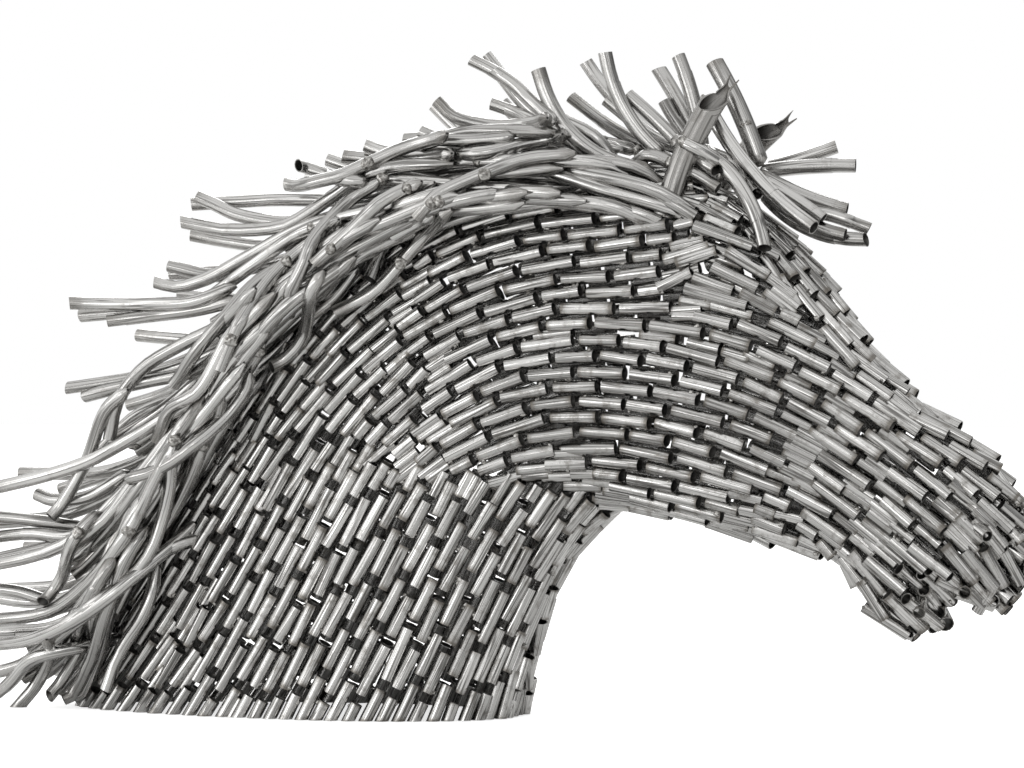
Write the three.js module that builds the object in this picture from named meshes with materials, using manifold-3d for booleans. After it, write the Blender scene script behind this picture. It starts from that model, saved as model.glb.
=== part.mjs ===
// Bust of a horse's head and neck in welded steel tube, cut flat across the neck.
// Millimetres. +X runs towards the muzzle, +Z up, +Y towards the horse's left side.
// The origin is on the neck's flat underside, near its middle.

import * as THREE from 'three';
import { LoftGeometry } from 'three/addons/geometries/LoftGeometry.js';
import { mergeVertices } from 'three/addons/utils/BufferGeometryUtils.js';
import Module from 'manifold-3d';

const wasm = await Module();
wasm.setup();

// Driving dimensions: the outer diameters of the stock that the sculpture is made of
const maneStock = 15.9;
const forelockStock = 17.5;
const broadStock = 21.3;
const earStock = 28.6;
const earWall = 2.6;

// Clearance left between two neighbouring solids that are welded together
const weldGap = 0.8;

const rodSides = 8;
const rodSteps = 6;
const ringPoints = 26;
const ringsPerStation = 3;

// Stations up the neck, round the poll and down the face to the lips. Each one has its
// crest or nose point, its throat or jaw point, its half width, how square its section
// is and how much it narrows towards the crest (below zero: towards the jaw).
const stations = [
  { crest: [-295, 0], throat: [266, 0], half: 130, square: 2.1, narrow: 0.25 },
  { crest: [-198, 209], throat: [285, 99], half: 116, square: 2.15, narrow: 0.25 },
  { crest: [-52, 440], throat: [316, 169], half: 101, square: 2.2, narrow: 0.22 },
  { crest: [55, 545], throat: [333, 192], half: 95, square: 2.2, narrow: 0.18 },
  { crest: [176, 616], throat: [349, 208], half: 92, square: 2.25, narrow: 0.12 },
  { crest: [298, 642], throat: [364, 221], half: 92, square: 2.3, narrow: 0.05 },
  { crest: [407, 640], throat: [385, 232], half: 96, square: 2.4, narrow: 0 },
  { crest: [490, 616], throat: [425, 230], half: 102, square: 2.5, narrow: -0.04 },
  { crest: [545, 580], throat: [480, 219], half: 105, square: 2.6, narrow: -0.06 },
  { crest: [600, 527], throat: [534, 207], half: 98, square: 2.7, narrow: -0.1 },
  { crest: [639, 470], throat: [583, 197], half: 86, square: 2.7, narrow: -0.14 },
  { crest: [680, 414], throat: [625, 185], half: 74, square: 2.6, narrow: -0.12 },
  { crest: [739, 361], throat: [660, 156], half: 65, square: 2.5, narrow: -0.08 },
  { crest: [784, 327], throat: [690, 129], half: 60, square: 2.4, narrow: 0 },
  { crest: [823, 291], throat: [722, 101], half: 57, square: 2.3, narrow: 0.05 },
  { crest: [847, 249], throat: [768, 102], half: 50, square: 2.3, narrow: 0.05 },
  { crest: [853, 208], throat: [818, 118], half: 40, square: 2.3, narrow: 0 },
  { crest: [854, 184], throat: [841, 142], half: 22, square: 2.3, narrow: 0 },
];
const pollStation = 7;

// Soft swellings of both sides: centre in the side view, radius and height
const swellings = [
  { name: 'cheek', at: [500, 330], radius: 95, height: 9 },
  { name: 'brow', at: [532, 540], radius: 50, height: 9 },
  { name: 'eye socket', at: [545, 494], radius: 36, height: -8 },
  { name: 'nostril rim', at: [800, 246], radius: 34, height: 8 },
  { name: 'hollow behind the jaw', at: [372, 330], radius: 60, height: -7 },
];

// Side view of the gap between the lips, from its corner down the lower lip and back
// along the upper one
const mouth = [
  [735, 170], [752, 138], [757, 114], [752, 60],
  [900, 60], [852, 140], [828, 130], [782, 147],
];

const eyeball = { at: [546, 494], sunk: 5, radii: [22, 12, 12] };
const nostril = { at: [796, 243], sunk: 2, radii: [19, 14, 11] };
const headTilt = 35;

// Angles round a section run from the crest, positive towards the horse's left
const degrees = THREE.MathUtils.degToRad;

const crestLine = stationCurve((station) => [station.crest[0], 0, station.crest[1]]);
const throatLine = stationCurve((station) => [station.throat[0], 0, station.throat[1]]);
const girth = stationCurve((station) => [station.half, station.square, station.narrow]);
crestLine.arcLengthDivisions = 600;
const pollLength = lengthTo(pollStation / (stations.length - 1));

function stationCurve(read) {
  return new THREE.CatmullRomCurve3(stations.map((station) => new THREE.Vector3(...read(station))));
}

function lengthTo(t) {
  const lengths = crestLine.getLengths();
  return lengths[Math.round(t * (lengths.length - 1))];
}

// A cosine or sine turned into the side of a squarer oval
function rounded(value, square) {
  return Math.sign(value) * Math.abs(value) ** (2 / square);
}

// Point of the neck's or head's surface at a place t along it and an angle round it
function skinPoint(t, angle) {
  const crest = crestLine.getPoint(t);
  const throat = throatLine.getPoint(t);
  const { x: half, y: square, z: narrow } = girth.getPoint(t);
  const along = rounded(Math.cos(angle), square);
  const across = rounded(Math.sin(angle), square);
  const point = throat.lerp(crest, (along + 1) / 2);
  let width = half * (1 - narrow * along);
  for (const { at, radius, height } of swellings) {
    const distance = Math.hypot(point.x - at[0], point.z - at[1]);
    width += height * Math.exp(-((distance / radius) ** 2));
  }
  point.y = width * across;
  return point;
}

function skinNormal(t, angle) {
  const step = 0.004;
  const here = skinPoint(t, angle);
  const round = skinPoint(t, angle + step).sub(here);
  const up = skinPoint(t + step, angle).sub(here);
  return round.cross(up).negate().normalize();
}

// Point on the horse's left side that shows at a place in the side view
function sidePoint([x, z]) {
  let nearest = null;
  for (let i = 0; i <= 200; i += 1) {
    for (let k = 10; k <= 90; k += 1) {
      const place = { t: i / 200, angle: (Math.PI * k) / 100 };
      const point = skinPoint(place.t, place.angle);
      const miss = Math.hypot(point.x - x, point.z - z);
      if (nearest === null || miss < nearest.miss) {
        nearest = { ...place, miss };
      }
    }
  }
  return nearest;
}

// Point that stands off the neck by a height, at a distance down the crest from the poll
function aboveNeck(distance, angle, height) {
  const t = crestLine.getUtoTmapping(0, Math.max(pollLength - distance, 0));
  return skinPoint(t, angle).addScaledVector(skinNormal(t, angle), height);
}

// Unit vectors down the crest and straight out of it
function crestFrame(distance) {
  const t = crestLine.getUtoTmapping(0, Math.max(pollLength - distance, 0));
  const down = crestLine.getTangent(t).negate();
  const out = new THREE.Vector3(down.z, 0, -down.x);
  return { down, out: out.z < 0 && out.x > 0 ? out.negate() : out };
}

function toSolid(source) {
  const geometry = new THREE.BufferGeometry().copy(source);
  geometry.deleteAttribute('normal');
  geometry.deleteAttribute('uv');
  const merged = mergeVertices(geometry, 1e-3);
  return new wasm.Manifold(new wasm.Mesh({
    numProp: 3,
    vertProperties: new Float32Array(merged.attributes.position.array),
    triVerts: new Uint32Array(merged.index.array),
  }));
}

function toGeometry(solid) {
  const { vertProperties, triVerts } = solid.getMesh();
  const geometry = new THREE.BufferGeometry();
  geometry.setAttribute('position', new THREE.BufferAttribute(vertProperties, 3));
  geometry.setIndex(new THREE.BufferAttribute(triVerts, 1));
  geometry.computeVertexNormals();
  return geometry;
}

function steel(tone) {
  return new THREE.MeshStandardMaterial({
    color: new THREE.Color(tone, tone * 0.99, tone * 0.965),
    roughness: 0.34,
    metalness: 1,
  });
}

const skinSteel = steel(0.6);
const maneSteel = steel(0.66);
const earSteel = steel(0.63);

// Solid through the rings between two stations, grown outwards by a margin
function skinLoft(firstStation, lastStation, margin) {
  const ringCount = (stations.length - 1) * ringsPerStation;
  const sections = [];
  for (let ring = firstStation * ringsPerStation; ring <= lastStation * ringsPerStation; ring += 1) {
    const section = [];
    for (let i = 0; i < ringPoints; i += 1) {
      const t = ring / ringCount;
      const angle = (-2 * Math.PI * i) / ringPoints;
      const point = skinPoint(t, angle);
      section.push(margin > 0 ? point.addScaledVector(skinNormal(t, angle), margin) : point);
    }
    sections.push(section);
  }
  return toSolid(new LoftGeometry(sections, { capStart: true, capEnd: true }));
}

// Head and neck in one, as the skin of short tubes is welded into one shell
function buildHeadAndNeck() {
  let solid = skinLoft(0, stations.length - 1, 0);
  solid = solid.subtract(toSolid(plate(mouth, 2 * stations[0].half)));
  for (const side of [-1, 1]) {
    solid = solid.subtract(pebble(nostril, side)).add(pebble(eyeball, side));
  }
  return toGeometry(solid);
}

// Oval on one side of the head, tilted with the face
function pebble({ at, sunk, radii }, side) {
  const { t, angle } = sidePoint(at);
  const centre = skinPoint(t, side * angle).addScaledVector(skinNormal(t, side * angle), -sunk);
  const geometry = new THREE.SphereGeometry(1, 12, 8);
  geometry.scale(...radii);
  geometry.rotateY(degrees(headTilt));
  geometry.translate(...centre);
  return toSolid(geometry);
}

// Flat outline in the XZ plane, given a thickness across Y
function plate(outline, thickness) {
  const shape = new THREE.Shape(outline.map(([x, z]) => new THREE.Vector2(x, z)));
  const geometry = new THREE.ExtrudeGeometry(shape, { depth: thickness, bevelEnabled: false });
  geometry.translate(0, 0, -thickness / 2);
  return geometry.rotateX(Math.PI / 2);
}

function roundShape(radius) {
  const shape = new THREE.Shape();
  shape.absarc(0, 0, radius, 0, 2 * Math.PI);
  return shape;
}

// Straight-sided tube along a curve, in a few steps
function sweep(points, radius, steps, sides) {
  const extrudePath = new THREE.CatmullRomCurve3(points);
  return new THREE.ExtrudeGeometry(roundShape(radius), {
    extrudePath,
    steps,
    curveSegments: sides / 2,
    bevelEnabled: false,
  });
}

// Points every few millimetres along the swept rod's straight stretches
function rodSamples(points) {
  const corners = new THREE.CatmullRomCurve3(points).getSpacedPoints(rodSteps);
  const samples = [];
  for (let i = 0; i < corners.length - 1; i += 1) {
    const count = Math.ceil(corners[i].distanceTo(corners[i + 1]) / 4);
    for (let k = 0; k < count; k += 1) {
      samples.push(corners[i].clone().lerp(corners[i + 1], k / count));
    }
  }
  samples.push(corners[corners.length - 1]);
  return samples;
}

// Marks all over the head and neck, which the rods are tried against
const bodyMarks = [];
for (let i = 0; i <= 130; i += 1) {
  for (let k = 0; k < 48; k += 1) {
    const t = i / 130;
    const angle = (2 * Math.PI * k) / 48;
    bodyMarks.push({ point: skinPoint(t, angle), normal: skinNormal(Math.min(t, 0.99), angle) });
  }
}

const laidRods = [];

function clearOfBody(samples, radius) {
  const reach = radius + 2.2;
  return samples.every((sample) => {
    if (sample.z < radius + 1) {
      return false;
    }
    return bodyMarks.every(({ point, normal }) => {
      const offset = sample.clone().sub(point);
      const distance = offset.length();
      return distance > 3 * reach || (distance > reach && offset.dot(normal) > 0);
    });
  });
}

function clearOfRods(samples, radius) {
  return laidRods.every((rod) => {
    const reach = (radius + rod.radius + weldGap) ** 2;
    return samples.every((a) => rod.samples.every((b) => a.distanceToSquared(b) > reach));
  });
}

// Tries a rod at its own place, then a little higher or to a side, and keeps the first
// place where it is clear of the head, the neck and the rods laid before it
function layRod(stock, highest, pointsAt) {
  const radius = stock / 2;
  const moves = [];
  for (let lift = 0; lift <= highest; lift += 3) {
    for (let turn = -6; turn <= 6; turn += 1) {
      moves.push({ lift, turn, cost: lift + 3.5 * Math.abs(turn) + (turn > 0 ? 0.5 : 0) });
    }
  }
  moves.sort((a, b) => a.cost - b.cost);
  for (const { lift, turn } of moves) {
    const points = pointsAt(radius + 2 + lift, turn);
    const samples = rodSamples(points);
    if (clearOfRods(samples, radius) && clearOfBody(samples, radius)) {
      laidRods.push({ samples, radius });
      return sweep(points, radius, rodSteps, rodSides);
    }
  }
  return null;
}

// Locks that leave the crest and flick back. `at` is the root's distance down the crest
// from the poll, `side` its angle round the neck, `trail` how far down the crest the tip
// lies from the root, `reach` how far it stands out, `curl` how far the tip turns up.
const flicks = [
  { at: 104, side: -8, trail: 142, reach: 128, curl: 0 },
  { at: 150, side: 14, trail: 168, reach: 98, curl: 22 },
  { at: 96, side: 6, trail: 150, reach: 74, curl: 14 },
  { at: 170, side: -20, trail: 170, reach: 62, curl: -6 },
  { at: 216, side: 12, trail: 178, reach: 84, curl: 10 },
  { at: 240, side: -14, trail: 186, reach: 96, curl: 12 },
  { at: 268, side: 4, trail: 196, reach: 108, curl: -8 },
  { at: 330, side: -10, trail: 226, reach: 163, curl: -10 },
  { at: 352, side: 10, trail: 232, reach: 150, curl: 10 },
  { at: 410, side: -6, trail: 214, reach: 134, curl: -4 },
  { at: 430, side: 16, trail: 214, reach: 126, curl: 12 },
  { at: 486, side: -12, trail: 226, reach: 194, curl: -16 },
  { at: 500, side: 8, trail: 210, reach: 150, curl: 8 },
  { at: 560, side: 0, trail: 220, reach: 152, curl: -6 },
  { at: 580, side: 18, trail: 204, reach: 118, curl: 10 },
  { at: 640, side: -16, trail: 208, reach: 96, curl: -22 },
  { at: 668, side: -4, trail: 236, reach: 180, curl: 6 },
  { at: 690, side: 12, trail: 216, reach: 140, curl: -12 },
  { at: 740, side: -12, trail: 230, reach: 196, curl: 6 },
  { at: 770, side: 6, trail: 216, reach: 158, curl: 16 },
  { at: 806, side: -18, trail: 214, reach: 186, curl: -10 },
  { at: 838, side: 14, trail: 206, reach: 170, curl: 8 },
  { at: 872, side: -4, trail: 190, reach: 204, curl: 10 },
  { at: 900, side: 10, trail: 185, reach: 150, curl: -14 },
  { at: 915, side: -20, trail: 165, reach: 128, curl: 4 },
];

function flickRod({ at, side, trail, reach, curl }) {
  return layRod(maneStock, 60, (height, turn) => {
    const angle = degrees(side + 4 * turn);
    const { down, out } = crestFrame(at + trail);
    const foot = aboveNeck(at + trail, 0, 0);
    const sway = 150 * Math.sin(angle);
    const tip = foot.clone().addScaledVector(out, reach).add(new THREE.Vector3(0, sway, 0));
    const bend = foot.clone().addScaledVector(out, height + 0.34 * reach);
    bend.addScaledVector(down, -0.3 * trail).add(new THREE.Vector3(0, 0.75 * sway, 0));
    bend.addScaledVector(new THREE.Vector3(0, 0, -1), curl);
    return [
      aboveNeck(at, angle, height),
      aboveNeck(at + 0.34 * trail, 0.9 * angle, height + 9),
      bend,
      tip,
    ];
  });
}

// Locks that stay on the neck and slide down its side, on the near and the far side
const drapes = { first: 150, spacing: 92, count: 9, trail: 205, start: 20, end: 44, wave: 9 };

function drapeRod(index, side) {
  const { first, spacing, trail, start, end, wave } = drapes;
  const at = first + spacing * index + (side > 0 ? 0.4 * spacing : 0);
  return layRod(maneStock, 40, (height, turn) => {
    const points = [];
    for (let i = 0; i <= 4; i += 1) {
      const s = i / 4;
      const swing = wave * Math.sin(2.4 * index + 4.4 * s);
      const angle = start + (end - start) * s + swing + 4 * turn;
      points.push(aboveNeck(at + trail * s, degrees(side * angle), height + 1 + 6 * s * s));
    }
    return points;
  });
}

// Forelock and poll tubes. Each one bends evenly from its heading at the root to its
// heading at the tip, in degrees up from the muzzle's direction, and swings to a side.
const forelock = [
  { root: [437, 615], side: -56, from: 177, to: 101, length: 190, swing: -8, stock: forelockStock },
  { root: [443, 641], side: -34, from: 141, to: 97, length: 138, swing: -14, stock: forelockStock },
  { root: [454, 654], side: 16, from: 158, to: 122, length: 160, swing: 6, stock: maneStock },
  { root: [468, 650], side: 40, from: 114, to: 124, length: 110, swing: 4, stock: forelockStock },
  { root: [476, 650], side: 10, from: 97, to: 113, length: 112, swing: 2, stock: forelockStock },
  { root: [545, 630], side: 8, from: 108, to: 121, length: 131, swing: 2, stock: broadStock },
  { root: [489, 648], side: -36, from: -32, to: -74, length: 146, swing: -58, stock: forelockStock },
  { root: [482, 710], side: -12, from: -62, to: -33, length: 209, swing: -40, stock: forelockStock },
  { root: [552, 612], side: -6, from: -26, to: -38, length: 82, swing: -2, stock: maneStock },
  { root: [546, 602], side: 12, from: -52, to: 2, length: 138, swing: -2, stock: forelockStock },
  { root: [534, 624], side: 32, from: -31, to: -14, length: 114, swing: 4, stock: forelockStock },
  { root: [532, 626], side: 52, from: 8, to: -2, length: 112, swing: 6, stock: forelockStock },
  { root: [536, 632], side: 72, from: 12, to: 20, length: 84, swing: 6, stock: maneStock },
];

function forelockRod({ root, side, from, to, length, swing, stock }) {
  return layRod(stock, 60, (height, turn) => {
    const count = 4;
    const points = [new THREE.Vector3(root[0], side + 4 * turn, root[1] + height - stock / 2 - 2)];
    for (let i = 0; i < count; i += 1) {
      const heading = degrees(from + ((to - from) * (i + 0.5)) / count);
      const stride = new THREE.Vector3(Math.cos(heading), swing / length, Math.sin(heading));
      points.push(points[i].clone().addScaledVector(stride, length / count));
    }
    return points;
  });
}

// Ear of wide tube: bent, its top cut open into a scoop, its tip a narrow tongue with
// two points. `lean` is the ear's rise in degrees, `bend` the change over its length.
const ears = {
  length: 168,
  scoop: 62,
  tongue: 17,
  notch: 15,
  right: { root: [455, -62, 580], lean: 65, bend: -24, splay: 6 },
  left: { root: [456, 62, 574], lean: 46, bend: -20, splay: -6 },
};

function earAxis({ root, lean, bend, splay }, from, to) {
  const count = 8;
  const points = [];
  const here = new THREE.Vector3(...root);
  for (let i = 0; i <= count; i += 1) {
    if (i / count >= from && i / count <= to) {
      points.push(here.clone());
    }
    const heading = degrees(lean - bend * 0.5 + (bend * (i + 0.5)) / count);
    const stride = new THREE.Vector3(Math.cos(heading), Math.sin(degrees(splay)), Math.sin(heading));
    here.addScaledVector(stride, ears.length / count);
  }
  return points;
}

function buildEar(place) {
  const sides = 10;
  const axis = earAxis(place, 0, 1);
  laidRods.push({ samples: rodSamples(axis), radius: earStock / 2 });
  const outer = toSolid(sweep(axis, earStock / 2, 8, sides));
  const bore = toSolid(sweep(earAxis(place, 0.5, 1), earStock / 2 - earWall, 5, sides));
  const tip = axis[axis.length - 1];
  const heading = place.lean + place.bend * 0.5;
  const slices = [scoopCut(), tongueCut(-1), tongueCut(1), tipBlock(-ears.notch, ears.tongue / 3)];
  let solid = outer.subtract(bore).subtract(skinLoft(pollStation - 2, pollStation + 3, weldGap));
  for (const slice of slices) {
    slice.rotateY(degrees(-heading));
    slice.translate(tip.x, tip.y, tip.z);
    solid = solid.subtract(toSolid(slice));
  }
  return toGeometry(solid);
}

// The cuts are drawn with the ear's tip at the origin and its axis along +X. The scoop
// is a long slanting slice that opens the ear's upper side.
function scoopCut() {
  const top = earStock;
  const low = -earStock / 4;
  const slant = [[-ears.scoop, top], [-ears.scoop, top / 2 + 1], [0, low]];
  return plate([...slant, [top, low], [top, top]], 2 * top);
}

// Block that stands across the ear from a place on its axis to past the tip
function tipBlock(from, thickness) {
  const reach = earStock;
  return plate([[from, -reach], [reach, -reach], [reach, reach], [from, reach]], thickness);
}

function tongueCut(side) {
  const cheek = earStock - ears.tongue;
  return tipBlock(-ears.scoop / 2, cheek).translate(0, (side * (ears.tongue + cheek)) / 2, 0);
}

const horse = new THREE.Group();

function addPiece(name, geometry, material) {
  if (geometry === null) {
    throw new Error(`${name} finds no clear place`);
  }
  const piece = new THREE.Mesh(geometry, material);
  piece.name = name;
  horse.add(piece);
}

addPiece('head_and_neck', buildHeadAndNeck(), skinSteel);
addPiece('ear_right', buildEar(ears.right), earSteel);
addPiece('ear_left', buildEar(ears.left), earSteel);
forelock.forEach((lock, i) => addPiece(`forelock_tube_${i + 1}`, forelockRod(lock), maneSteel));
for (let i = 0; i < drapes.count; i += 1) {
  addPiece(`mane_lock_right_${i + 1}`, drapeRod(i, -1), maneSteel);
}
for (let i = 0; i < drapes.count - 2; i += 1) {
  addPiece(`mane_lock_left_${i + 1}`, drapeRod(i, 1), maneSteel);
}
flicks.forEach((lock, i) => addPiece(`mane_flick_${i + 1}`, flickRod(lock), maneSteel));

export default horse;
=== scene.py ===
import math

import bpy
import numpy as np
from mathutils import Matrix, Vector
from mathutils.bvhtree import BVHTree


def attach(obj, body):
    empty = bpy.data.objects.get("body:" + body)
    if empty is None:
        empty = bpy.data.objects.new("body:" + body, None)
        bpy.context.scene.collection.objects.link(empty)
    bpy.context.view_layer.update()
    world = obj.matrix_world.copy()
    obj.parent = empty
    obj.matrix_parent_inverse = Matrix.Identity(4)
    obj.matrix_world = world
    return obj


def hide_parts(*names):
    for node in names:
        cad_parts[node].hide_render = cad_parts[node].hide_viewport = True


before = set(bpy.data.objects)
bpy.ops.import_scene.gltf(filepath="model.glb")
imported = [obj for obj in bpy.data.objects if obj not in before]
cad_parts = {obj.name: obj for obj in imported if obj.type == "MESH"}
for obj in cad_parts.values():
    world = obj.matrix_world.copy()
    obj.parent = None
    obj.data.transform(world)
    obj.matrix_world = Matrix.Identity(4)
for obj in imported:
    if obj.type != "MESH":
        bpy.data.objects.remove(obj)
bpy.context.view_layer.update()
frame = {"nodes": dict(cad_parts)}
nodes = frame["nodes"]
dice = np.random.default_rng(11)
print("frame loaded", len(nodes), "nodes")

# camera, level with the head's middle and turned towards its face
shot = {
    "place": (1.7034, -4.47, 0.383),
    "aim": (0.251, 0.0, 0.383),
    "lens": 143.03,
    "sensor": 36,
}


def unit(v):
    # each vector over its own length
    return v / np.maximum(np.linalg.norm(v, axis=-1, keepdims=True), 1e-9)


eye = np.array(shot["place"])
ahead = unit(np.array(shot["aim"]) - eye)
upward = np.array([0.0, 0.0, 1.0])
rightward = np.cross(ahead, upward)
focal = 1024 * shot["lens"] / shot["sensor"]    # in pixels of a picture 1024 wide and 768 high


def inPicture(points):
    # a point's right and up parts seen from the camera, over its depth, from the middle
    line = points - eye
    depth = line @ ahead
    return np.stack([512 + focal * (line @ rightward) / depth,
                     384 - focal * (line @ upward) / depth], axis=-1)


def rayThrough(right, down):
    # from the camera through a place in the picture, one metre deep
    return ahead + rightward * (right - 512) / focal - upward * (down - 384) / focal


def readSkin(node):
    # corners of the loose triangles rounded to one another, and a normal at each corner
    # that is the sum of its triangles' normals
    mesh = node.data
    mesh.calc_loop_triangles()
    loose = np.zeros(len(mesh.vertices) * 3)
    mesh.vertices.foreach_get("co", loose)
    triangles = np.zeros(len(mesh.loop_triangles) * 3, dtype=int)
    mesh.loop_triangles.foreach_get("vertices", triangles)
    _, first, back = np.unique(np.round(loose.reshape(-1, 3), 5), axis=0,
                               return_index=True, return_inverse=True)
    points = loose.reshape(-1, 3)[first]
    triangles = back.reshape(-1)[triangles].reshape(-1, 3)
    triangles = triangles[points[triangles, 2].max(axis=1) > 1e-4]    # without the flat underside
    a, b, c = (points[triangles[:, k]] for k in range(3))
    flat = np.cross(b - a, c - a)
    normals = np.zeros_like(points)
    for k in range(3):
        np.add.at(normals, triangles[:, k], flat)
    return points, triangles, unit(normals)


skinPoints, skinTriangles, skinNormals = readSkin(nodes["head_and_neck"])
skinTree = BVHTree.FromPolygons([tuple(p) for p in skinPoints], skinTriangles.tolist())


def seenSkin(ray):
    # where a ray from the camera meets the surface, or nothing
    return skinTree.ray_cast(Vector(eye), Vector(unit(ray)))[0]


def onSkin(point):
    # nearest point of the surface, and the normal blended between its triangle's corners
    # by the areas opposite them
    place, _, index, _ = skinTree.find_nearest(Vector(point))
    place = np.array(place)
    corners = skinPoints[skinTriangles[index]]
    areas = np.array([
        np.linalg.norm(np.cross(corners[(k + 1) % 3] - place, corners[(k + 2) % 3] - place))
        for k in range(3)
    ])
    return place, unit(areas @ skinNormals[skinTriangles[index]])


# which way the short tubes run, as marks of (right, down, rise in degrees) in the camera's
# picture: the neck's straight rows, the arcs of cheek and jaw, the brow over the eye and
# the strip down the nose
flow = {
    "neck": [
        (20, 690, 52), (120, 640, 54), (160, 540, 56), (250, 420, 56), (330, 440, 58),
        (230, 560, 60), (330, 560, 63), (420, 480, 63), (430, 620, 64), (540, 520, 58),
        (520, 640, 66), (560, 560, 62), (530, 715, 74), (100, 715, 54), (300, 715, 63),
        (590, 530, 50),
    ],
    "head": [
        (160, 540, 56), (250, 400, 55), (230, 330, 52), (300, 330, 50), (330, 430, 54),
        (340, 260, 42), (400, 380, 43), (420, 460, 38), (470, 400, 28), (400, 240, 28),
        (430, 300, 30), (450, 220, 20), (500, 300, 15), (500, 200, 9), (500, 440, 20),
        (560, 470, 3), (560, 380, 3), (560, 220, 3), (600, 300, 0), (620, 400, -5),
        (610, 500, -8), (640, 340, -8), (630, 240, 6), (670, 265, 10), (690, 275, 24),
        (700, 350, -15), (700, 430, -14), (700, 510, -8), (740, 300, -18), (760, 440, -22),
        (770, 530, -10), (790, 380, -26), (790, 345, -30), (830, 480, -31),
        (840, 420, -33), (850, 550, -42), (870, 380, -37), (900, 440, -38), (890, 520, -38),
        (900, 600, -50), (950, 440, -38), (960, 500, -42), (960, 570, -44), (1000, 480, -44),
        (1000, 560, -56), (640, 190, 2),
    ],
    "brow": [
        (700, 180, -16), (700, 230, -26), (740, 215, -40), (750, 260, -28), (740, 290, -22),
        (780, 300, -40),
    ],
    "nose": [
        (740, 190, -50), (780, 240, -60), (800, 290, -60), (830, 330, -56),
        (870, 380, -43), (920, 430, -38),
    ],
}
flowMarks = {name: np.array(marks, dtype=float) for name, marks in flow.items()}

# where one kind of row meets another: the neck's top rows butt under the head's arcs
seam = {
    "underHead": [(0, 470), (330, 440), (400, 470), (450, 480), (550, 482), (620, 518), (700, 600)],
    "beforeBrow": [(180, 696), (240, 694), (262, 706), (292, 722), (310, 770)],
    "beforeNose": [(170, 735), (225, 748), (262, 770), (320, 812), (365, 850), (400, 885)],
    "noseAbove": 400,
    "browAbove": 310,
    "stopsFrom": 330,       # right of this a row ends at a seam, left of it the row goes on
}


def partOf(place):
    # the region a picture place lies in, by the seams' heights and offsets there
    right, down = place
    under = np.interp(right, *np.transpose(seam["underHead"]))
    if down > under:
        return "neck"
    if down < seam["noseAbove"] and right > np.interp(down, *np.transpose(seam["beforeNose"])):
        return "nose"
    if down < seam["browAbove"] and right > np.interp(down, *np.transpose(seam["beforeBrow"])):
        return "brow"
    return "head"


def riseAt(place, part):
    # marks' rises averaged, each weighed by one over about its distance cubed
    marks = flowMarks[part]
    far = np.hypot(marks[:, 0] - place[0], marks[:, 1] - place[1])
    weight = 1 / (far ** 2 + rows["markNear"] ** 2) ** 1.5
    return math.radians((weight @ marks[:, 2]) / weight.sum())


def rowHeading(point, normal, part):
    # the surface direction that shows at the wanted rise in the picture: its right and up
    # parts are set, and its depth part keeps it square to the normal
    rise = riseAt(inPicture(point), part)
    flat = math.cos(rise) * rightward + math.sin(rise) * upward
    facing = normal @ ahead
    heading = flat - ahead * (flat @ normal) * facing / (facing ** 2 + rows["slanting"])
    return unit(heading - normal * (heading @ normal))


# rows over the near half of the skin
rows = {
    "markNear": 18,         # pixels from a mark within which its weight hardly grows
    "slanting": 0.06,       # holds the depth part back where the skin is seen at a slant
    "pitch": 0.0168,        # between neighbouring rows
    "headPitch": 0.0174,
    "closest": 0.84,        # share of the pitch at which a row stops
    "startClear": 0.9,      # and share that it needs to start
    "step": 0.006,
    "mostSteps": 260,
    "straightest": 0.8,     # least cosine between the normals of two steps
    "underFloor": 8,        # steps that a row goes on below the floor
    "shortest": 0.03,
    "fromMiddle": 0.007,    # clear of the mid-plane by half a row
    "eye": ((719, 271), (60, 44), -20),     # middle, half sizes and turn in the picture
    "nostril": ((0.797, 0.243), 0.013),
    "lipAim": (0.74, 0.0, -0.67),
    "lipFrom": 0.66,        # along X
    "lipFaces": 0.72,       # least cosine to the lips' aim at which skin counts as lips
    "starts": [(430, 620), (560, 380), (560, 250), (840, 470), (720, 240), (810, 300), (320, 330)],
}
lipAim = unit(np.array(rows["lipAim"]))


def pitchAt(part):
    return rows["pitch"] if part == "neck" else rows["headPitch"]


def isLip(point, normal, faces):
    return point[0] > rows["lipFrom"] and normal @ lipAim > faces


def barred(point, normal):
    # outside the near half, in the eye or nostril, past the lips or inside the mouth
    if point[1] > -rows["fromMiddle"]:
        return True
    (x, z), radius = rows["nostril"]
    if math.hypot(point[0] - x, point[2] - z) < radius:
        return True
    middle, half, turn = rows["eye"]
    right, down = inPicture(point) - middle
    turn = math.radians(turn)
    along = (right * math.cos(turn) - down * math.sin(turn)) / half[0]
    across = (right * math.sin(turn) + down * math.cos(turn)) / half[1]
    return along ** 2 + across ** 2 < 1 or isLip(point, normal, rows["lipFaces"])


def crowded(point, laid, near):
    return bool(len(laid)) and (((laid - point) ** 2).sum(-1) < near ** 2).any()


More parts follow.
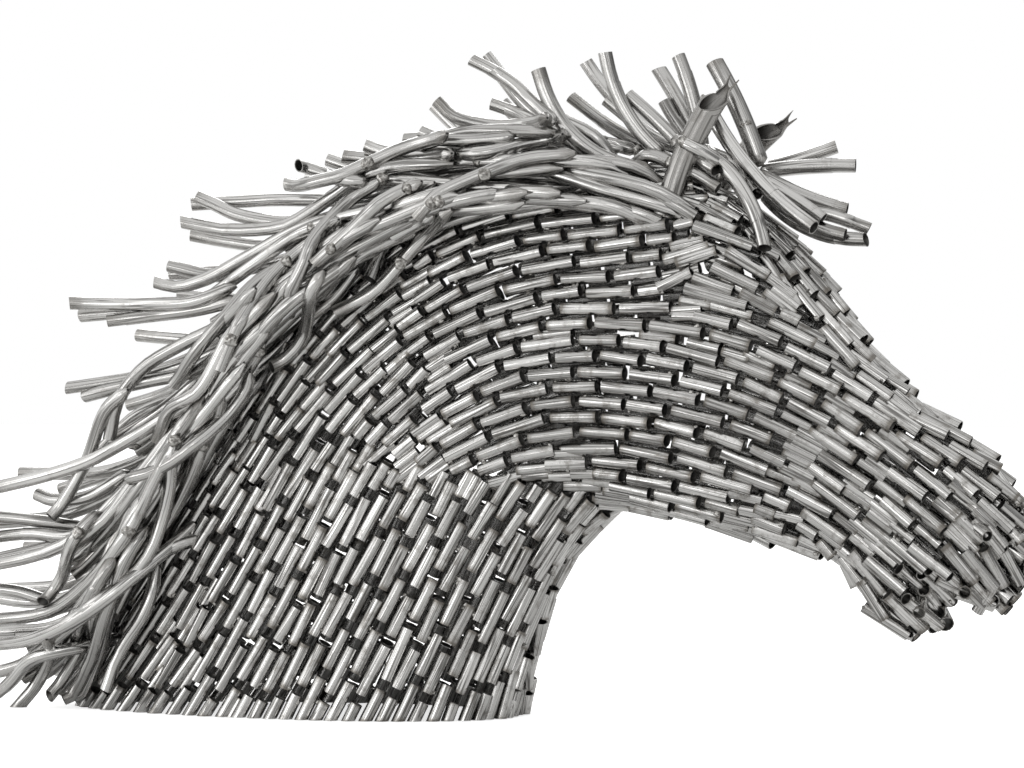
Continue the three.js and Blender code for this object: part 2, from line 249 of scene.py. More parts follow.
def traceRow(seed, part, laid):
    # walks both ways from the seed in equal steps along the headings, each step's middle
    # heading taken first, until a row laid before is too near
    halves = []
    for sign in (1, -1):
        place, normal = seed
        marks = []
        for _ in range(rows["mostSteps"]):
            heading = sign * rowHeading(place, normal, part)
            middle, midNormal = onSkin(place + heading * rows["step"] / 2)
            heading = sign * rowHeading(middle, midNormal, part)
            after, afterNormal = onSkin(place + heading * rows["step"])
            if barred(after, afterNormal) or afterNormal @ normal < rows["straightest"]:
                break
            if np.linalg.norm(after - place) < 0.5 * rows["step"]:
                break
            now = partOf(inPicture(after))
            if now != part:
                if inPicture(after)[0] > seam["stopsFrom"]:
                    break
                part = now
            near = rows["closest"] * pitchAt(part)
            if crowded(after, laid, near):
                break
            marks.append((after, afterNormal))
            place, normal = after, afterNormal
            if after[2] < 0.5 * rows["step"]:    # straight on through the flat underside
                steps = range(1, rows["underFloor"] + 1)
                marks += [(after + k * rows["step"] * heading, normal) for k in steps]
                break
        halves.append(marks)
    return halves[1][::-1] + [seed] + halves[0]


def layRows():
    # evenly spaced rows: each finished row offers seeds one pitch to either side of it
    laid = np.empty((0, 3))
    finished = []
    for right, down in rows["starts"]:
        hit = seenSkin(rayThrough(right, down))
        queue = [onSkin(np.array(hit))]
        while queue:
            seed = queue.pop(0)
            part = partOf(inPicture(seed[0]))
            near = rows["startClear"] * pitchAt(part)
            if barred(*seed) or crowded(seed[0], laid, near):
                continue
            row = traceRow(seed, part, laid)
            if (len(row) - 1) * rows["step"] < rows["shortest"]:
                continue
            points = np.array([p for p, _ in row])
            normals = np.array([n for _, n in row])
            laid = np.concatenate([laid, points])
            finished.append((points, normals))
            across = np.cross(unit(np.gradient(points, axis=0)), normals)
            fromCentre = np.argsort(np.abs(np.arange(len(row)) - len(row) / 2))
            for k in fromCentre[::3]:
                for sign in (1, -1):
                    queue.append(onSkin(points[k] + sign * pitchAt(part) * across[k]))
    return finished


nearRows = layRows()
print("rows laid", len(nearRows), "of", round(sum(len(p) for p, _ in nearRows) * rows["step"], 1), "m")


# the rows cut into short tubes
cuts = {
    "length": (0.044, 0.064),
    "gaps": {"right": (0.0125, 0.0085), "left": (0.006, 0.006)},    # neck, head
    "wider": {"right": (1, 1), "left": (1.26, 1.22)},   # neck, head; closes the far side's slits
    "frontOut": (0.0022, 0.0065),   # how far a head tube's front is turned out, cheek and lips
    "frontFrom": (0.45, 0.72),
    "neckShare": 0.6,       # of a row's marks, above which it is cut as one of the neck's
    "sag": 0.6,             # share of the skin's own curve that a straight tube is moved out by
    "farthest": 0.03,       # past this it doesn't matter how far apart two gaps are
    "floorGap": (0.008, 0.016),     # no gap within the second of the first's height
    "foot": 0.006,          # a tube reaches up past this
    "shortest": 0.02,
    "tries": 14,            # ways of cutting a row that are compared, to stagger its gaps
    "stock": 0.0073,        # radius
    "headStock": 0.0076,
    "wall": 0.0012,
    "proud": 0.0012,        # how far a tube's back stands over the skin
    "unevenHeight": 0.0009,
    "unevenTurn": 0.0008,
    "slant": 0.07,
    "sides": 12,
}


def readRow(row, distances):
    # points and normals at distances along a row, between its marks
    points, normals = row
    reach = np.concatenate([[0], np.cumsum(np.linalg.norm(np.diff(points, axis=0), axis=1))])
    columns = np.concatenate([points, normals], axis=1).T
    blend = [np.interp(distances, reach, column) for column in columns]
    return np.stack(blend[:3], axis=-1), unit(np.stack(blend[3:], axis=-1))


def cutRow(row, gap, gapMarks):
    # lengths picked at random from end to end, several times over; kept is the cut whose
    # gaps lie furthest from the gaps of the rows beside it
    points = row[0]
    total = np.linalg.norm(np.diff(points, axis=0), axis=1).sum()
    best = None
    for _ in range(cuts["tries"]):
        lengths = dice.uniform(*cuts["length"], size=int(total / cuts["length"][0]) + 3)
        starts = np.concatenate([[0], np.cumsum(lengths + gap)[:-1]]) - dice.uniform(0, lengths[0] + gap)
        ends = np.minimum(starts + lengths, total)
        starts = np.maximum(starts, 0)
        kept = ends - starts > cuts["shortest"]
        starts, ends = starts[kept], ends[kept]
        if not len(starts):
            starts, ends = np.array([0.0]), np.array([total])
        gaps, _ = readRow(row, ends + gap / 2)
        apart = cuts["farthest"]
        if len(gapMarks):
            far = np.linalg.norm(gaps[:, None] - gapMarks[None], axis=-1).min(axis=1)
            apart = np.minimum(far, cuts["farthest"]).mean()
        height, reach = cuts["floorGap"]
        apart -= cuts["farthest"] * (np.abs(gaps[:, 2] - height) < reach).any()
        if best is None or apart > best[0]:
            best = (apart, starts, ends, gaps)
    return best[1:]


def shortTubes(rowList, gapList):
    # each tube runs straight from its start to its end under the skin, moved out by a part
    # of the skin's own curve between them, and each end is then shifted a little
    ends, inward, stock, gapMarks = [], [], [], np.empty((0, 3))
    for row in rowList:
        inNeck = np.array([partOf(p) == "neck" for p in inPicture(row[0])]).mean() > cuts["neckShare"]
        starts, stops, gaps = cutRow(row, gapList[0] if inNeck else gapList[1], gapMarks)
        gapMarks = np.concatenate([gapMarks, gaps])
        points, normals = readRow(row, np.stack([starts, (starts + stops) / 2, stops], axis=1).ravel())
        radius = cuts["stock"] if inNeck else cuts["headStock"]
        points = points.reshape(-1, 3, 3) - (radius - cuts["proud"]) * normals.reshape(-1, 3, 3)
        sag = points[:, 1] - (points[:, 0] + points[:, 2]) / 2
        inward.append(-normals.reshape(-1, 3, 3)[:, 1])
        out = np.interp(points[:, 1, 0], cuts["frontFrom"], cuts["frontOut"])[:, None] * (not inNeck)
        out = out * np.sign(points[:, 2, 0] - points[:, 0, 0])[:, None] * inward[-1]
        ends.append(points[:, ::2] + cuts["sag"] * sag[:, None] + out[:, None] * np.array([[0.5], [-1]]))
        stock.append(np.full(len(points), radius))
    ends, inward, stock = (np.concatenate(part) for part in (ends, inward, stock))
    standing = ends[..., 2].max(axis=1) > cuts["foot"]
    ends, inward, stock = ends[standing], inward[standing], stock[standing]
    sideways = np.cross(unit(ends[:, 1] - ends[:, 0]), inward)
    ends += dice.normal(0, cuts["unevenHeight"], (len(ends), 2, 1)) * inward[:, None]
    ends += dice.normal(0, cuts["unevenTurn"], (len(ends), 2, 1)) * sideways[:, None]
    return ends, inward, stock


# single tubes in the holes that the rows leave
patches = {
    "samples": 26000,
    "hole": {"right": 0.0128, "left": 0.0112},  # furthest that skin may lie from a tube's middle line
    "lipFaces": 0.5,
    "fromMiddle": 0.004,
    "fromFloor": 0.004,
    "most": 260,
    "done": 0.006,          # skin this near to a patch's middle needs no other
    "length": (0.03, 0.046),
    "deeper": 0.0032,
}


def onAxes(paths):
    # five places along each tube's middle line
    shares = np.linspace(0, 1, 5)[:, None]
    return (paths[:, :1] + shares * (paths[:, 1:] - paths[:, :1])).reshape(-1, 3)


def sampleSkin(count):
    # triangles picked by area, and in each the point of two random shares folded inwards
    a, b, c = (skinPoints[skinTriangles[:, k]] for k in range(3))
    area = np.linalg.norm(np.cross(b - a, c - a), axis=1)
    pick = dice.choice(len(area), count, p=area / area.sum())
    u, v = dice.uniform(0, 1, (2, count, 1))
    fold = u + v > 1
    u, v = np.where(fold, 1 - u, u), np.where(fold, 1 - v, v)
    return a[pick] + u * (b - a)[pick] + v * (c - a)[pick]


def patchHoles(paths, hole):
    # while some bit of skin lies too far from every tube, one more goes in there, a little
    # deeper than the rows
    points = sampleSkin(patches["samples"])
    points = points[(points[:, 1] < -patches["fromMiddle"]) & (points[:, 2] > patches["fromFloor"])]
    found = [onSkin(p) for p in points]
    free = [not (barred(*f) or isLip(p, f[1], patches["lipFaces"])) for p, f in zip(points, found)]
    points = points[free]
    axes = onAxes(paths)
    far = np.array([np.sqrt(((axes - p) ** 2).sum(-1).min()) for p in points])
    ends, inward = [], []
    while far.max() > hole and len(ends) < patches["most"]:
        middle, normal = onSkin(points[far.argmax()])
        heading = rowHeading(middle, normal, partOf(inPicture(middle)))
        half = dice.uniform(*patches["length"]) / 2
        centre = middle - (cuts["stock"] + patches["deeper"]) * normal
        path = centre + np.array([[-half], [half]]) * heading
        ends.append(path)
        inward.append(-normal)
        new = onAxes(path[None])
        far = np.minimum(far, np.sqrt(((new[:, None] - points[None]) ** 2).sum(-1).min(axis=0)))
        far[np.linalg.norm(points - middle, axis=1) < patches["done"]] = 0
    return np.array(ends), np.array(inward)


# the tubes round the eye, in the picture: from, to, and how far each stands out, which may
# be one number or its rear end's and its front end's
eyeTubes = [
    ((694, 226), (752, 247), 0.012), ((727, 251), (768, 276), 0.009), ((712, 266), (757, 288), 0.006),
    ((686, 288), (747, 306), 0.004), ((694, 277), (733, 291), 0.001), ((677, 263), (717, 251), 0.005),
    ((664, 260), (709, 246), 0.002), ((658, 288), (692, 272), 0.004), ((672, 247), (704, 240), -0.001),
    ((664, 277), (700, 269), -0.003), ((740, 292), (775, 312), 0.001), ((722, 279), (764, 301), -0.004),
    ((748, 240), (779, 256), 0.004), ((688, 240), (736, 256), -0.002), ((706, 303), (752, 316), -0.003),
    ((680, 300), (712, 305), -0.002), ((708, 256), (742, 268), -0.005),
]

# and those of the chin and the upper lip's edge
lipTubes = [
    ((906, 599), (940, 626), (0.024, 0.008)), ((887, 595), (925, 630), (0.018, 0.002)),
    ((924, 590), (941, 612), (0.016, 0.0)), ((861, 580), (886, 619), (0.012, 0.012)),
    ((864, 606), (909, 635), -0.006), ((922, 574), (950, 601), (0.002, -0.006)),
    ((899, 569), (925, 591), (0.008, 0.004)), ((866, 559), (904, 592), 0.009),
    ((851, 552), (884, 592), 0.0), ((891, 541), (926, 571), 0.003), ((910, 546), (949, 577), 0.009),
    ((944, 546), (975, 583), 0.005), ((965, 551), (995, 589), 0.004),
    ((984, 549), (1004, 586), (0.006, -0.002)), ((1002, 550), (1019, 582), (0.004, -0.004)),
    ((957, 592), (995, 606), -0.008),
    ((880, 588), (912, 622), -0.006), ((904, 596), (928, 622), -0.009), ((930, 560), (962, 592), -0.009),
    ((880, 604), (918, 636), -0.014), ((866, 536), (896, 562), -0.007), ((952, 524), (984, 560), -0.006),
    ((946, 486), (982, 514), -0.007), ((974, 520), (1002, 556), 0.002),
]
mouth = np.array([0.8, 0.0, 0.16])


def placedTubes(marks):
    # each tube between the skin's points on its two rays, moved along them by its radius
    # and its stand-out; past the skin's outline it takes the depth of the nearest skin
    ends, inward = [], []
    for start, stop, out in marks:
        path = []
        for spot, raised in zip((start, stop), np.broadcast_to(out, 2)):
            ray = rayThrough(*spot)
            hit = seenSkin(ray)
            place = np.array(hit) if hit else onSkin(eye + ray * ((mouth - eye) @ ahead))[0]
            path.append(eye + ray * ((place - eye) @ ahead + cuts["headStock"] - cuts["proud"] - raised))
        path = np.array(path)
        ends.append(path)
        inward.append(-onSkin(path.mean(axis=0))[1])
    return np.array(ends), np.array(inward)


def awayFrom(paths, placed, clear):
    # whether each tube's middle and last end keep clear of the placed tubes
    axes = onAxes(placed)
    far = [np.sqrt(((axes[None] - place[:, None]) ** 2).sum(-1)).min(axis=1)
           for place in (paths.mean(axis=1), paths[:, 1])]
    return np.minimum(*far) > clear


# the lips' other tubes
bundle = {
    "pitch": 0.0158,
    "stock": 0.0073,
    "length": (0.036, 0.05),
    "faces": 0.52,          # how squarely the skin must look along the bundle
    "spread": 0.048,
    "uneven": 0.0022,
    "clear": 0.013,         # of the placed tubes
    "rowsClear": 0.011,     # the same for the rows' tubes
}


def lipBundle():
    # parallel tubes on a staggered grid, each from where its line leaves the lips back
    # into the head, so that their open ends make the muzzle's front
    sideways = np.array([0.0, 1.0, 0.0])
    over = np.cross(sideways, lipAim)
    ends = []
    for i in range(-12, 13):
        for k in range(-6, 7):
            offset = bundle["pitch"] * ((k + 0.5 * (i % 2)) * sideways + 0.87 * i * over)
            start = mouth + offset + 0.3 * lipAim
            place, normal, _, _ = skinTree.ray_cast(Vector(start), Vector(-lipAim))
            if place is None or place.x < rows["lipFrom"]:
                continue
            if normal.dot(Vector(lipAim)) < bundle["faces"]:
                continue
            turn = unit(lipAim + dice.normal(0, bundle["spread"], 3))
            tip = np.array(place) + dice.uniform(-1, 0.6) * bundle["uneven"] * lipAim
            length = dice.uniform(*bundle["length"])
            ends.append(np.array([tip - length * turn, tip]))
    return np.array(ends)


def hollowTubes(paths, radii, walls, inward, sides, slants):
    # each ring is its path's point + radius x (cos a x n + sin a x b), n being carried
    # along the path without twist; outer rings run to the tip and the bore's rings back,
    # so that rings and sides close into one wall; the end rings lean by their slants
    rings = paths.shape[1]
    along = unit(np.gradient(paths, axis=1))
    normals = np.empty_like(paths)
    carried = inward
    for k in range(rings):
        carried = unit(carried - (carried * along[:, k]).sum(-1, keepdims=True) * along[:, k])
        normals[:, k] = carried
    across = np.cross(along, normals)
    angles = np.linspace(0, 2 * np.pi, sides, endpoint=False)[:, None]
    spokes = normals[:, :, None] * np.cos(angles) + across[:, :, None] * np.sin(angles)
    radii = np.broadcast_to(np.asarray(radii, dtype=float).reshape(len(paths), -1), paths.shape[:2])
    radii = radii[:, :, None, None]
    bore = radii - np.reshape(walls, (-1, 1, 1, 1))
    lean = np.zeros(radii.shape)
    lean[:, [0, -1], 0, 0] = slants
    lean = lean * np.cos(angles) * along[:, :, None]
    outside = paths[:, :, None] + (spokes + lean) * radii
    inside = paths[:, :, None] + (spokes + lean) * bore
    return np.concatenate([outside, inside[:, ::-1]], axis=1), along


def tubeFaces(count, rings, sides):
    # quads between ring j and j + 1 and side s and s + 1, both wrapped round
    ring, side = np.meshgrid(np.arange(2 * rings), np.arange(sides), indexing="ij")
    afterRing, afterSide = (ring + 1) % (2 * rings), (side + 1) % sides
    quad = np.stack([ring * sides + side, ring * sides + afterSide,
                     afterRing * sides + afterSide, afterRing * sides + side], axis=-1)
    first = np.arange(count)[:, None, None] * 2 * rings * sides
    return (quad.reshape(1, -1, 4) + first).reshape(-1, 4)


def tubeMarks(paths, radii, sides):
    # a map's place for each quad's corners: metres along the tube and round it, moved to a
    # place of its own for each tube
    count, rings = paths.shape[:2]
    reach = np.linalg.norm(np.diff(paths, axis=1), axis=-1)
    reach = np.concatenate([np.zeros((count, 1)), np.cumsum(reach, axis=1)], axis=1)
    both = np.concatenate([reach, reach[:, ::-1]], axis=1)
    wrapped = np.concatenate([both, both[:, :1]], axis=1)
    u = np.stack([wrapped[:, :-1], wrapped[:, :-1], wrapped[:, 1:], wrapped[:, 1:]], axis=-1)
    u = np.broadcast_to(u[:, :, None, :], (count, 2 * rings, sides, 4))
    side = np.arange(sides)[:, None] + np.array([0, 1, 1, 0])
    girth = 2 * np.pi * np.reshape(np.asarray(radii, dtype=float), (count, -1))[:, :1, None, None]
    v = np.broadcast_to(side * girth / sides, (count, 2 * rings, sides, 4))
    own = dice.uniform(0, 40, (count, 2, 1, 1, 1))
    share = both / np.maximum(both.max(axis=1, keepdims=True), 1e-9) * 2 - 1
    return np.stack([u + own[:, 0], v + own[:, 1]], axis=-1).reshape(-1, 2), share


def addMesh(name, points, faces):
    mesh = bpy.data.meshes.new(name)
    mesh.vertices.add(len(points))
    mesh.vertices.foreach_set("co", points.astype(np.float32).ravel())
    mesh.loops.add(faces.size)
    mesh.loops.foreach_set("vertex_index", faces.astype(np.int32).ravel())
    mesh.polygons.add(len(faces))
    mesh.polygons.foreach_set("loop_start", np.arange(0, faces.size, faces.shape[1], dtype=np.int32))
    mesh.polygons.foreach_set("use_smooth", np.ones(len(faces), dtype=bool))
    mesh.update(calc_edges=True)
    mesh.set_sharp_from_angle(angle=math.radians(50))   # a tube's round stays smooth, its ends sharp
    piece = bpy.data.objects.new(name, mesh)
    bpy.context.scene.collection.objects.link(piece)
    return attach(piece, "root")


def addValue(piece, name, values):
    piece.data.attributes.new(name, "FLOAT", "POINT").data.foreach_set(
        "value", np.ascontiguousarray(values, dtype=np.float32).ravel())


def addTubes(name, paths, radii, walls, inward, sides, material, slants):
    # tubes in one piece, with a map, a tone for each tube, the share of its length from
    # -1 to 1, how strongly its ends are stained by the weld, and a mark for the bore, whose wall
    # the material darkens as painted shade
    count, rings = paths.shape[:2]
    points, along = hollowTubes(paths, radii, walls, inward, sides, slants)
    below = np.minimum(points[..., 2], 0)
    slope = np.concatenate([along, along[:, ::-1]], axis=1)[:, :, None]
    slope = slope / np.where(np.abs(slope[..., 2:]) < 0.15, 0.15, slope[..., 2:])
    points = points - below[..., None] * slope      # cut flat where it would pass the floor
    piece = addMesh(name, points.reshape(-1, 3), tubeFaces(count, rings, sides))
    places, share = tubeMarks(paths, radii, sides)
    piece.data.uv_layers.new(name="tubeMap").data.foreach_set("uv", places.astype(np.float32).ravel())
    values = {
        "tone": dice.uniform(0, 1, (count, 1, 1)),
        "along": share[:, :, None],
        "stain": dice.uniform(0, 1, (count, 1, 1)) ** 1.6,
        # marks the bore's wall for its painted shade
        "bore": (np.arange(2 * rings) >= rings)[:, None] * 1.0,
    }
    for label, value in values.items():
        addValue(piece, label, np.broadcast_to(value, (count, 2 * rings, sides)))
    piece.data.materials.append(material)
    return piece


def nodeMaker(tree):
    # a function that adds a node, with its settings, and sets its inputs or links them
    tree.nodes.clear()

    def node(kind, inputs=(), **settings):
        made = tree.nodes.new(kind)
        for key, value in settings.items():
            setattr(made, key, value)
        for key, value in dict(inputs).items():
            if isinstance(value, bpy.types.NodeSocket):
                tree.links.new(value, made.inputs[key])
            else:
                made.inputs[key].default_value = value
        return made

    return node


def newMaterial(name):
    material = bpy.data.materials.new(name)
    material.use_nodes = True
    return material, nodeMaker(material.node_tree)


def steel(name, look):
    # base colour between two tones by tube, darker and browner towards stained ends and in
    # cloudy patches, with painted reflection in thin dark lines along the tube (standing also
    # for brushed streaks) and painted shade in the bore; fine scratches lie along the tube by its map
    material, node = newMaterial(name)

    def attribute(label):
        return node("ShaderNodeAttribute", attribute_name=label).outputs["Fac"]

    def maths(kind, first, second):
        return node("ShaderNodeMath", operation=kind, inputs={0: first, 1: second}).outputs[0]

    def noise(vector, scale, detail, roughness, dimensions="3D"):
        return node("ShaderNodeTexNoise", noise_dimensions=dimensions, inputs={
            "Vector": vector, "Scale": scale, "Detail": detail, "Roughness": roughness,
        }).outputs["Fac"]

    def drawnOut(scale):
        return node("ShaderNodeMapping", inputs={"Vector": tubeMap, "Scale": scale}).outputs[0]

    def ranged(value, low, high, newLow, newHigh):
        return node("ShaderNodeMapRange", inputs={
            "Value": value, "From Min": low, "From Max": high, "To Min": newLow, "To Max": newHigh,
        }).outputs["Result"]

    def mixed(share, first, second, kind="MIX"):
        return node("ShaderNodeMix", data_type="RGBA", blend_type=kind, inputs={
            "Factor": share, 6: first, 7: second,
        }).outputs[2]

    tubeMap = node("ShaderNodeUVMap", uv_map="tubeMap").outputs["UV"]
    place = node("ShaderNodeTexCoord").outputs["Object"]
    scratches = noise(drawnOut(look["scratchScale"]), 1.0, 3.0, 0.6, "2D")
    # painted reflection: thin dark lines along the tube from noise stretched along its map, standing
    # also for brushed streaks
    waves = noise(drawnOut(look["streakAndReflectionScale"]), 1.0, 1.0, 0.4, "2D")
    clouds = noise(place, look["cloudScale"], 4.0, 0.65)
    specks = noise(place, look["speckScale"], 2.0, 0.5)
    wide = look["streakAndReflectionWide"]     # a line lies where its noise passes the middle
    fromMiddle = maths("ABSOLUTE", maths("SUBTRACT", waves, 0.5), 0.0)
    lines = ranged(fromMiddle, wide / 3, wide, look["streakAndReflectionShade"], 0.0)

    nearEnd = maths("POWER", maths("ABSOLUTE", attribute("along"), 0.0), look["stainNarrow"])
    stain = maths("MULTIPLY", nearEnd, attribute("stain"))
    stain = maths("MULTIPLY", stain, ranged(clouds, *look["stainClouds"]))
    patches = ranged(clouds, look["patchFrom"], look["patchTo"], 0.0, look["patchShare"])
    dirt = maths("MAXIMUM", ranged(stain, *look["stainFade"], 0.0, look["stainShare"]), patches)

    base = mixed(attribute("tone"), look["dark"], look["light"])
    scratched = ranged(scratches, *look["scratchFade"], 0.0, look["scratchShade"])
    base = mixed(scratched, base, look["scratched"])
    # painted reflection: the thin dark lines mixed into the base colour
    base = mixed(lines, base, look["line"])
    base = mixed(dirt, base, look["stained"])
    base = mixed(ranged(specks, *look["speckFade"], 0.0, look["speckShade"]), base, look["speck"])
    # painted shade: the bore's wall darkened
    base = mixed(attribute("bore"), base, look["boreShadeColour"])
    rough = ranged(scratches, 0.3, 0.7, *look["roughness"])
    rough = maths("ADD", rough, maths("MULTIPLY", dirt, look["dirtRough"]))
    rough = maths("ADD", rough, maths("MULTIPLY", attribute("bore"), look["boreRough"]))
    height = maths("MULTIPLY", scratches, look["scratchDepth"])
    height = maths("ADD", height, maths("MULTIPLY", clouds, look["dentDepth"]))
    bump = node("ShaderNodeBump", inputs={"Height": height, "Strength": 1.0, "Distance": 0.001})
    shader = node("ShaderNodeBsdfPrincipled", inputs={
        "Base Color": base, "Metallic": 1.0, "Roughness": rough, "Normal": bump.outputs["Normal"],
    })
    node("ShaderNodeOutputMaterial", inputs={"Surface": shader.outputs["BSDF"]})
    return material


skinLook = {
    "dark": (0.49, 0.484, 0.474, 1),
    "light": (0.76, 0.752, 0.74, 1),
    "scratched": (0.26, 0.255, 0.247, 1),
    "stained": (0.15, 0.136, 0.118, 1),
    # painted reflection: colour of the thin dark lines along each tube
    "line": (0.12, 0.116, 0.11, 1),
    "streakAndReflectionScale": (4, 210, 1),
    "streakAndReflectionWide": 0.05,
    "streakAndReflectionShade": 0.85,
    "speck": (0.1, 0.095, 0.09, 1),
    # painted shade inside the bore
    "boreShadeColour": (0.16, 0.156, 0.149, 1),
    "scratchScale": (10, 620, 1),
    "scratchShade": 0.7,
    "scratchDepth": 0.12,
    "scratchFade": (0.5, 0.66),
    "cloudScale": 55,
    "speckScale": 420,
    "speckFade": (0.68, 0.76),
    "speckShade": 0.6,
    "dentDepth": 0.12,
    "stainNarrow": 5.0,
    "stainShare": 0.85,
    "stainFade": (0.08, 0.6),
    "stainClouds": (0.3, 0.6, 0.3, 1.4),
    "patchFrom": 0.54,
    "patchTo": 0.7,
    "patchShare": 0.65,
    "roughness": (0.13, 0.24),
    "dirtRough": 0.2,       # added to the roughness
    "boreRough": 0.25,
}
skinSteel = steel("skin_steel", skinLook)

lipPaths = lipBundle()
eyePaths, eyeInward = placedTubes(eyeTubes)
chinPaths, chinInward = placedTubes(lipTubes)
placed, placedInward = np.concatenate([eyePaths, chinPaths]), np.concatenate([eyeInward, chinInward])
skinPaths = {}
for side, flip in (("right", 1), ("left", -1)):
    # the far side's rows mirror the near side's and are cut on their own
    paths, inward, stock = shortTubes(nearRows, cuts["gaps"][side])
    clear = awayFrom(paths, chinPaths, bundle["rowsClear"])
    paths, inward = np.concatenate([paths[clear], placed]), np.concatenate([inward[clear], placedInward])
    stock = np.concatenate([stock[clear], np.full(len(placed), cuts["headStock"])])
    stock = stock * np.where(stock < cuts["headStock"], *cuts["wider"][side])
    patchPaths, patchInward = patchHoles(paths, patches["hole"][side])
    lips = lipPaths[lipPaths[:, 1, 1] * flip <= 0] * (1, flip, 1)
    lips = lips[awayFrom(lips, chinPaths, bundle["clear"])]
    lipInward = np.tile([0.0, 0.0, 1.0], (len(lips), 1))
    paths = np.concatenate([paths, patchPaths, lips]) * (1, flip, 1)
    inward = np.concatenate([inward, patchInward, lipInward]) * (1, flip, 1)
    more = np.full(len(patchPaths), cuts["stock"]), np.full(len(lips), bundle["stock"])
    stock = np.concatenate([stock, *more])
    slants = dice.normal(0, cuts["slant"], (len(paths), 2))
    piece = addTubes("skin_tubes_" + side, paths, stock, cuts["wall"], inward, cuts["sides"],
                     skinSteel, slants)
    if side == "right":
        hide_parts("head_and_neck")
    skinPaths[side] = paths, inward, stock
    print("skin tubes", side, len(paths), "of them in holes", len(patchPaths))


# mane, forelock and poll: long bent tubes in layers, the solids' own lines among them

strands = {
    "radius": 0.0079,
    "wall": 0.0013,
    "rings": 20,
    "sides": 14,
    "lift": 0.003,          # clear of the skin's tubes
    "madeUp": 0.6,          # share of what a strand's depth lacks that it is moved out by
    "apart": 0.0135,        # between the middles of two that cross
    "moves": 14,            # steps in which one makes way for the others
    "enough": 0.001,
    "widest": 0.136,        # furthest from the mid-plane
    "rootRun": 0.045,       # how far a root runs on before it dives into the skin
    "rootReach": 0.062,     # and furthest that the dive may take it
    "rootStraight": 0.75,   # least cosine between the run and the dive
    "rootDeep": 0.005,
    "pinch": ((0.955, 0.985, 1), (1, 0.86, 0.3)),   # share of its length, radius there, if it can't dive
    "slant": 0.22,
    "sleeve": 0.4,          # share of them with a narrower tip piece let in
    "sleeveEnds": (0.12, 0.3),
    "sleeveStep": 0.0006,
    "sleeveIn": 0.93,
}

# the strands that fill the mane between those that are followed one by one
bed = {
    "right": 64,
    "left": 84,
    "marks": 22,
    "first": 0.02,          # from the poll
    "last": 0.2,            # from the crest's lower end
    "length": (0.19, 0.31),
    "root": (-0.06, -0.008),    # from the crest, inwards
    "rootNearer": ((0.1, 0.6), (1, 0.7)),
    "fan": (-0.01, 0.075),  # how much further out the tip lies
    "stray": 0.02,
    "flickUnder": 0.2,      # shorter ones fan out more, by this share of what they lack
    "flick": 0.8,
    "bend": 2.2,
    "wave": 0.0012,
    "waves": (0.8, 1.5),
    "level": (0.0, 0.06),
    "lowest": 0.011,
}

# the crest from the poll down, in the side view
crest = np.array([(0.49, 0.616), (0.407, 0.64), (0.298, 0.642), (0.176, 0.616), (0.055, 0.545),
                  (-0.052, 0.44), (-0.125, 0.33), (-0.198, 0.209), (-0.25, 0.1), (-0.295, 0.0)])

